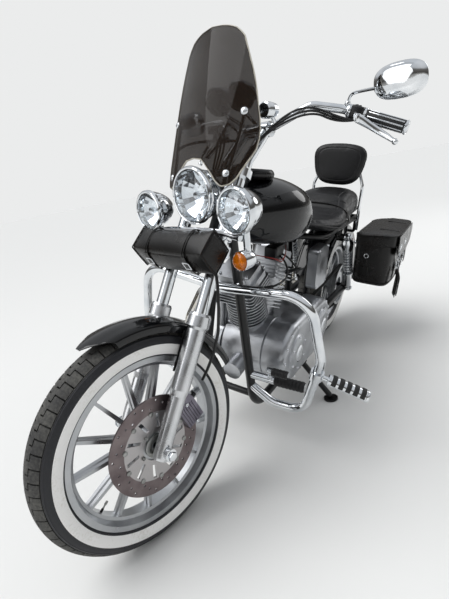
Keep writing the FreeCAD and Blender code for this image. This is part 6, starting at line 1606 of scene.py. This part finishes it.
class CRUISER_OT_tail(bpy.types.Operator):
    """Fits the tail lens, the rear indicators' lenses and the bare plate"""
    bl_idname = "cruiser.tail"
    bl_label = "Tail"

    def execute(self, context):
        out = Vector((math.cos(TAIL_ANGLE), 0, math.sin(TAIL_ANGLE)))
        fender_face = REAR_TYRE + 31
        base = Vector((0, 0, REAR_TYRE)) + out * (fender_face + 0.3)
        place = levelled(Matrix.Translation(base) @ facing(out))

        def at(row, turn):
            height, share = row
            x, y = soft_box(turn, 4)
            return (x * 48.6 * share, y * 34.6 * share, height)

        lens = lofted(ringed([(16, 1.0), (36, 1.01), (42, 0.99), (46, 0.93), (49, 0.8), (50.5, 0.5)], 44, at))
        piece("tail_lens", gathered([(lens, 0, place)]), BIKE, "frame", ["ruby"])
        domes = []
        for sign in SIDES.values():
            spot = base + Vector((-42, 140 * sign, 8))
            dome = turned([(0, 15), (8, 14.4), (15, 12.8), (21, 9), (25.4, 2), (27.4, 0), (27.4, -8)], 40)
            domes.append((dome, 0, Matrix.Translation(spot) @ Matrix.Rotation(math.radians(-90), 4, "Y")))
        piece("rear_indicator_lenses", gathered(domes), BIKE, "frame", ["amber"])
        back = -fender_face - 16
        plate = block((back - 2.4, -86, base.z - 148), (back - 0.2, 86, base.z - 36), 0.8)
        piece("bare_plate", plate, BIKE, "frame", ["dial_mark"])
        return {"FINISHED"}


class CRUISER_OT_stage(bpy.types.Operator):
    """Lays a pale floor and hangs soft lights round the motorcycle"""
    bl_idname = "cruiser.stage"
    bl_label = "Stage"

    def execute(self, context):
        bm = bmesh.new()
        bmesh.ops.create_grid(bm, x_segments=2, y_segments=2, size=60)
        floor = shown("floor", meshed("floor", bm))
        floor.data.materials.append(FINISH["floor"])
        floor.location.z = -0.0005
        middle = Vector((0, 0, 0.6))
        for name, place, size, energy in (("fill", (4.2, -2.4, 2.4), 3.0, 30), ("rear", (-4.4, 2.6, 2.6), 2.4, 32)):
            data = bpy.data.lights.new(name, "AREA")
            data.shape = "DISK"
            data.size = size
            data.energy = energy
            lamp = shown(name, data)
            lamp.location = place
            lamp.rotation_euler = (middle - Vector(place)).to_track_quat("-Z", "Y").to_euler()
        sky = bpy.data.lights.new("key", "SUN")
        sky.angle = math.radians(50)
        sky.energy = 2.0
        shown("key", sky).rotation_euler = (math.radians(20), math.radians(20), 0)
        world = bpy.data.worlds.new("Studio")
        world.use_nodes = True
        tree = world.node_tree
        back = tree.nodes["Background"]
        path = add(tree, "ShaderNodeLightPath")
        way = add(tree, "ShaderNodeTexCoord").outputs["Generated"]
        height = add(tree, "ShaderNodeSeparateXYZ", {0: way}).outputs["Z"]
        # A dark band above the horizon gives the chrome its edge, and the pale ceiling its shine
        room = add(tree, "ShaderNodeValToRGB", {"Fac": height},
                   ((0.0, hexed("#a9a8a5")), (0.05, hexed("#4c4a47")), (0.25, hexed("#6d6b69")),
                    (0.42, hexed("#c9cbce")), (1.0, hexed("#dfe2e6"))))
        seen = add(tree, "ShaderNodeMix",
                   {"Factor": path.outputs["Is Camera Ray"], 6: room.outputs[0], 7: opaque("#ebecec")},
                   data_type="RGBA")
        tree.links.new(seen.outputs[2], back.inputs["Color"])
        back.inputs["Strength"].default_value = 1.0
        context.scene.world = world
        context.scene.view_settings.view_transform = "Standard"
        return {"FINISHED"}


class CRUISER_PT_panel(bpy.types.Panel):
    """Lists the pieces and the sizes and colours behind them"""
    bl_idname = "CRUISER_PT_panel"
    bl_label = "Cruiser motorcycle"
    bl_space_type = "VIEW_3D"
    bl_region_type = "UI"
    bl_category = "Cruiser"

    def draw(self, context):
        for holder in (context.scene.bike_sizes, context.scene.bike_colours):
            for key in holder.bl_rna.properties.keys():
                if key not in ("rna_type", "name"):
                    self.layout.prop(holder, key)
        for operator in OPERATORS:
            self.layout.operator(operator.bl_idname)


OPERATORS = (CRUISER_OT_camera, CRUISER_OT_finishes, CRUISER_OT_tyres, CRUISER_OT_wheel_fittings,
             CRUISER_OT_front_fender, CRUISER_OT_lamps, CRUISER_OT_windshield, CRUISER_OT_saddle,
             CRUISER_OT_backrest, CRUISER_OT_fork_bag, CRUISER_OT_saddlebags, CRUISER_OT_controls,
             CRUISER_OT_gauges, CRUISER_OT_shocks, CRUISER_OT_engine_fittings, CRUISER_OT_pegs,
             CRUISER_OT_tail, CRUISER_OT_stage)
CLASSES = (BikeColours, BikeSizes, *OPERATORS, CRUISER_PT_panel)


def register():
    for item in CLASSES:
        bpy.utils.register_class(item)
    bpy.types.Scene.bike_colours = PointerProperty(type=BikeColours)
    bpy.types.Scene.bike_sizes = PointerProperty(type=BikeSizes)


def unregister():
    del bpy.types.Scene.bike_sizes
    del bpy.types.Scene.bike_colours
    for item in reversed(CLASSES):
        bpy.utils.unregister_class(item)


def main():
    register()
    for operator in OPERATORS:
        group, name = operator.bl_idname.split(".")
        getattr(getattr(bpy.ops, group), name)()


if __name__ == "__main__":
    main()
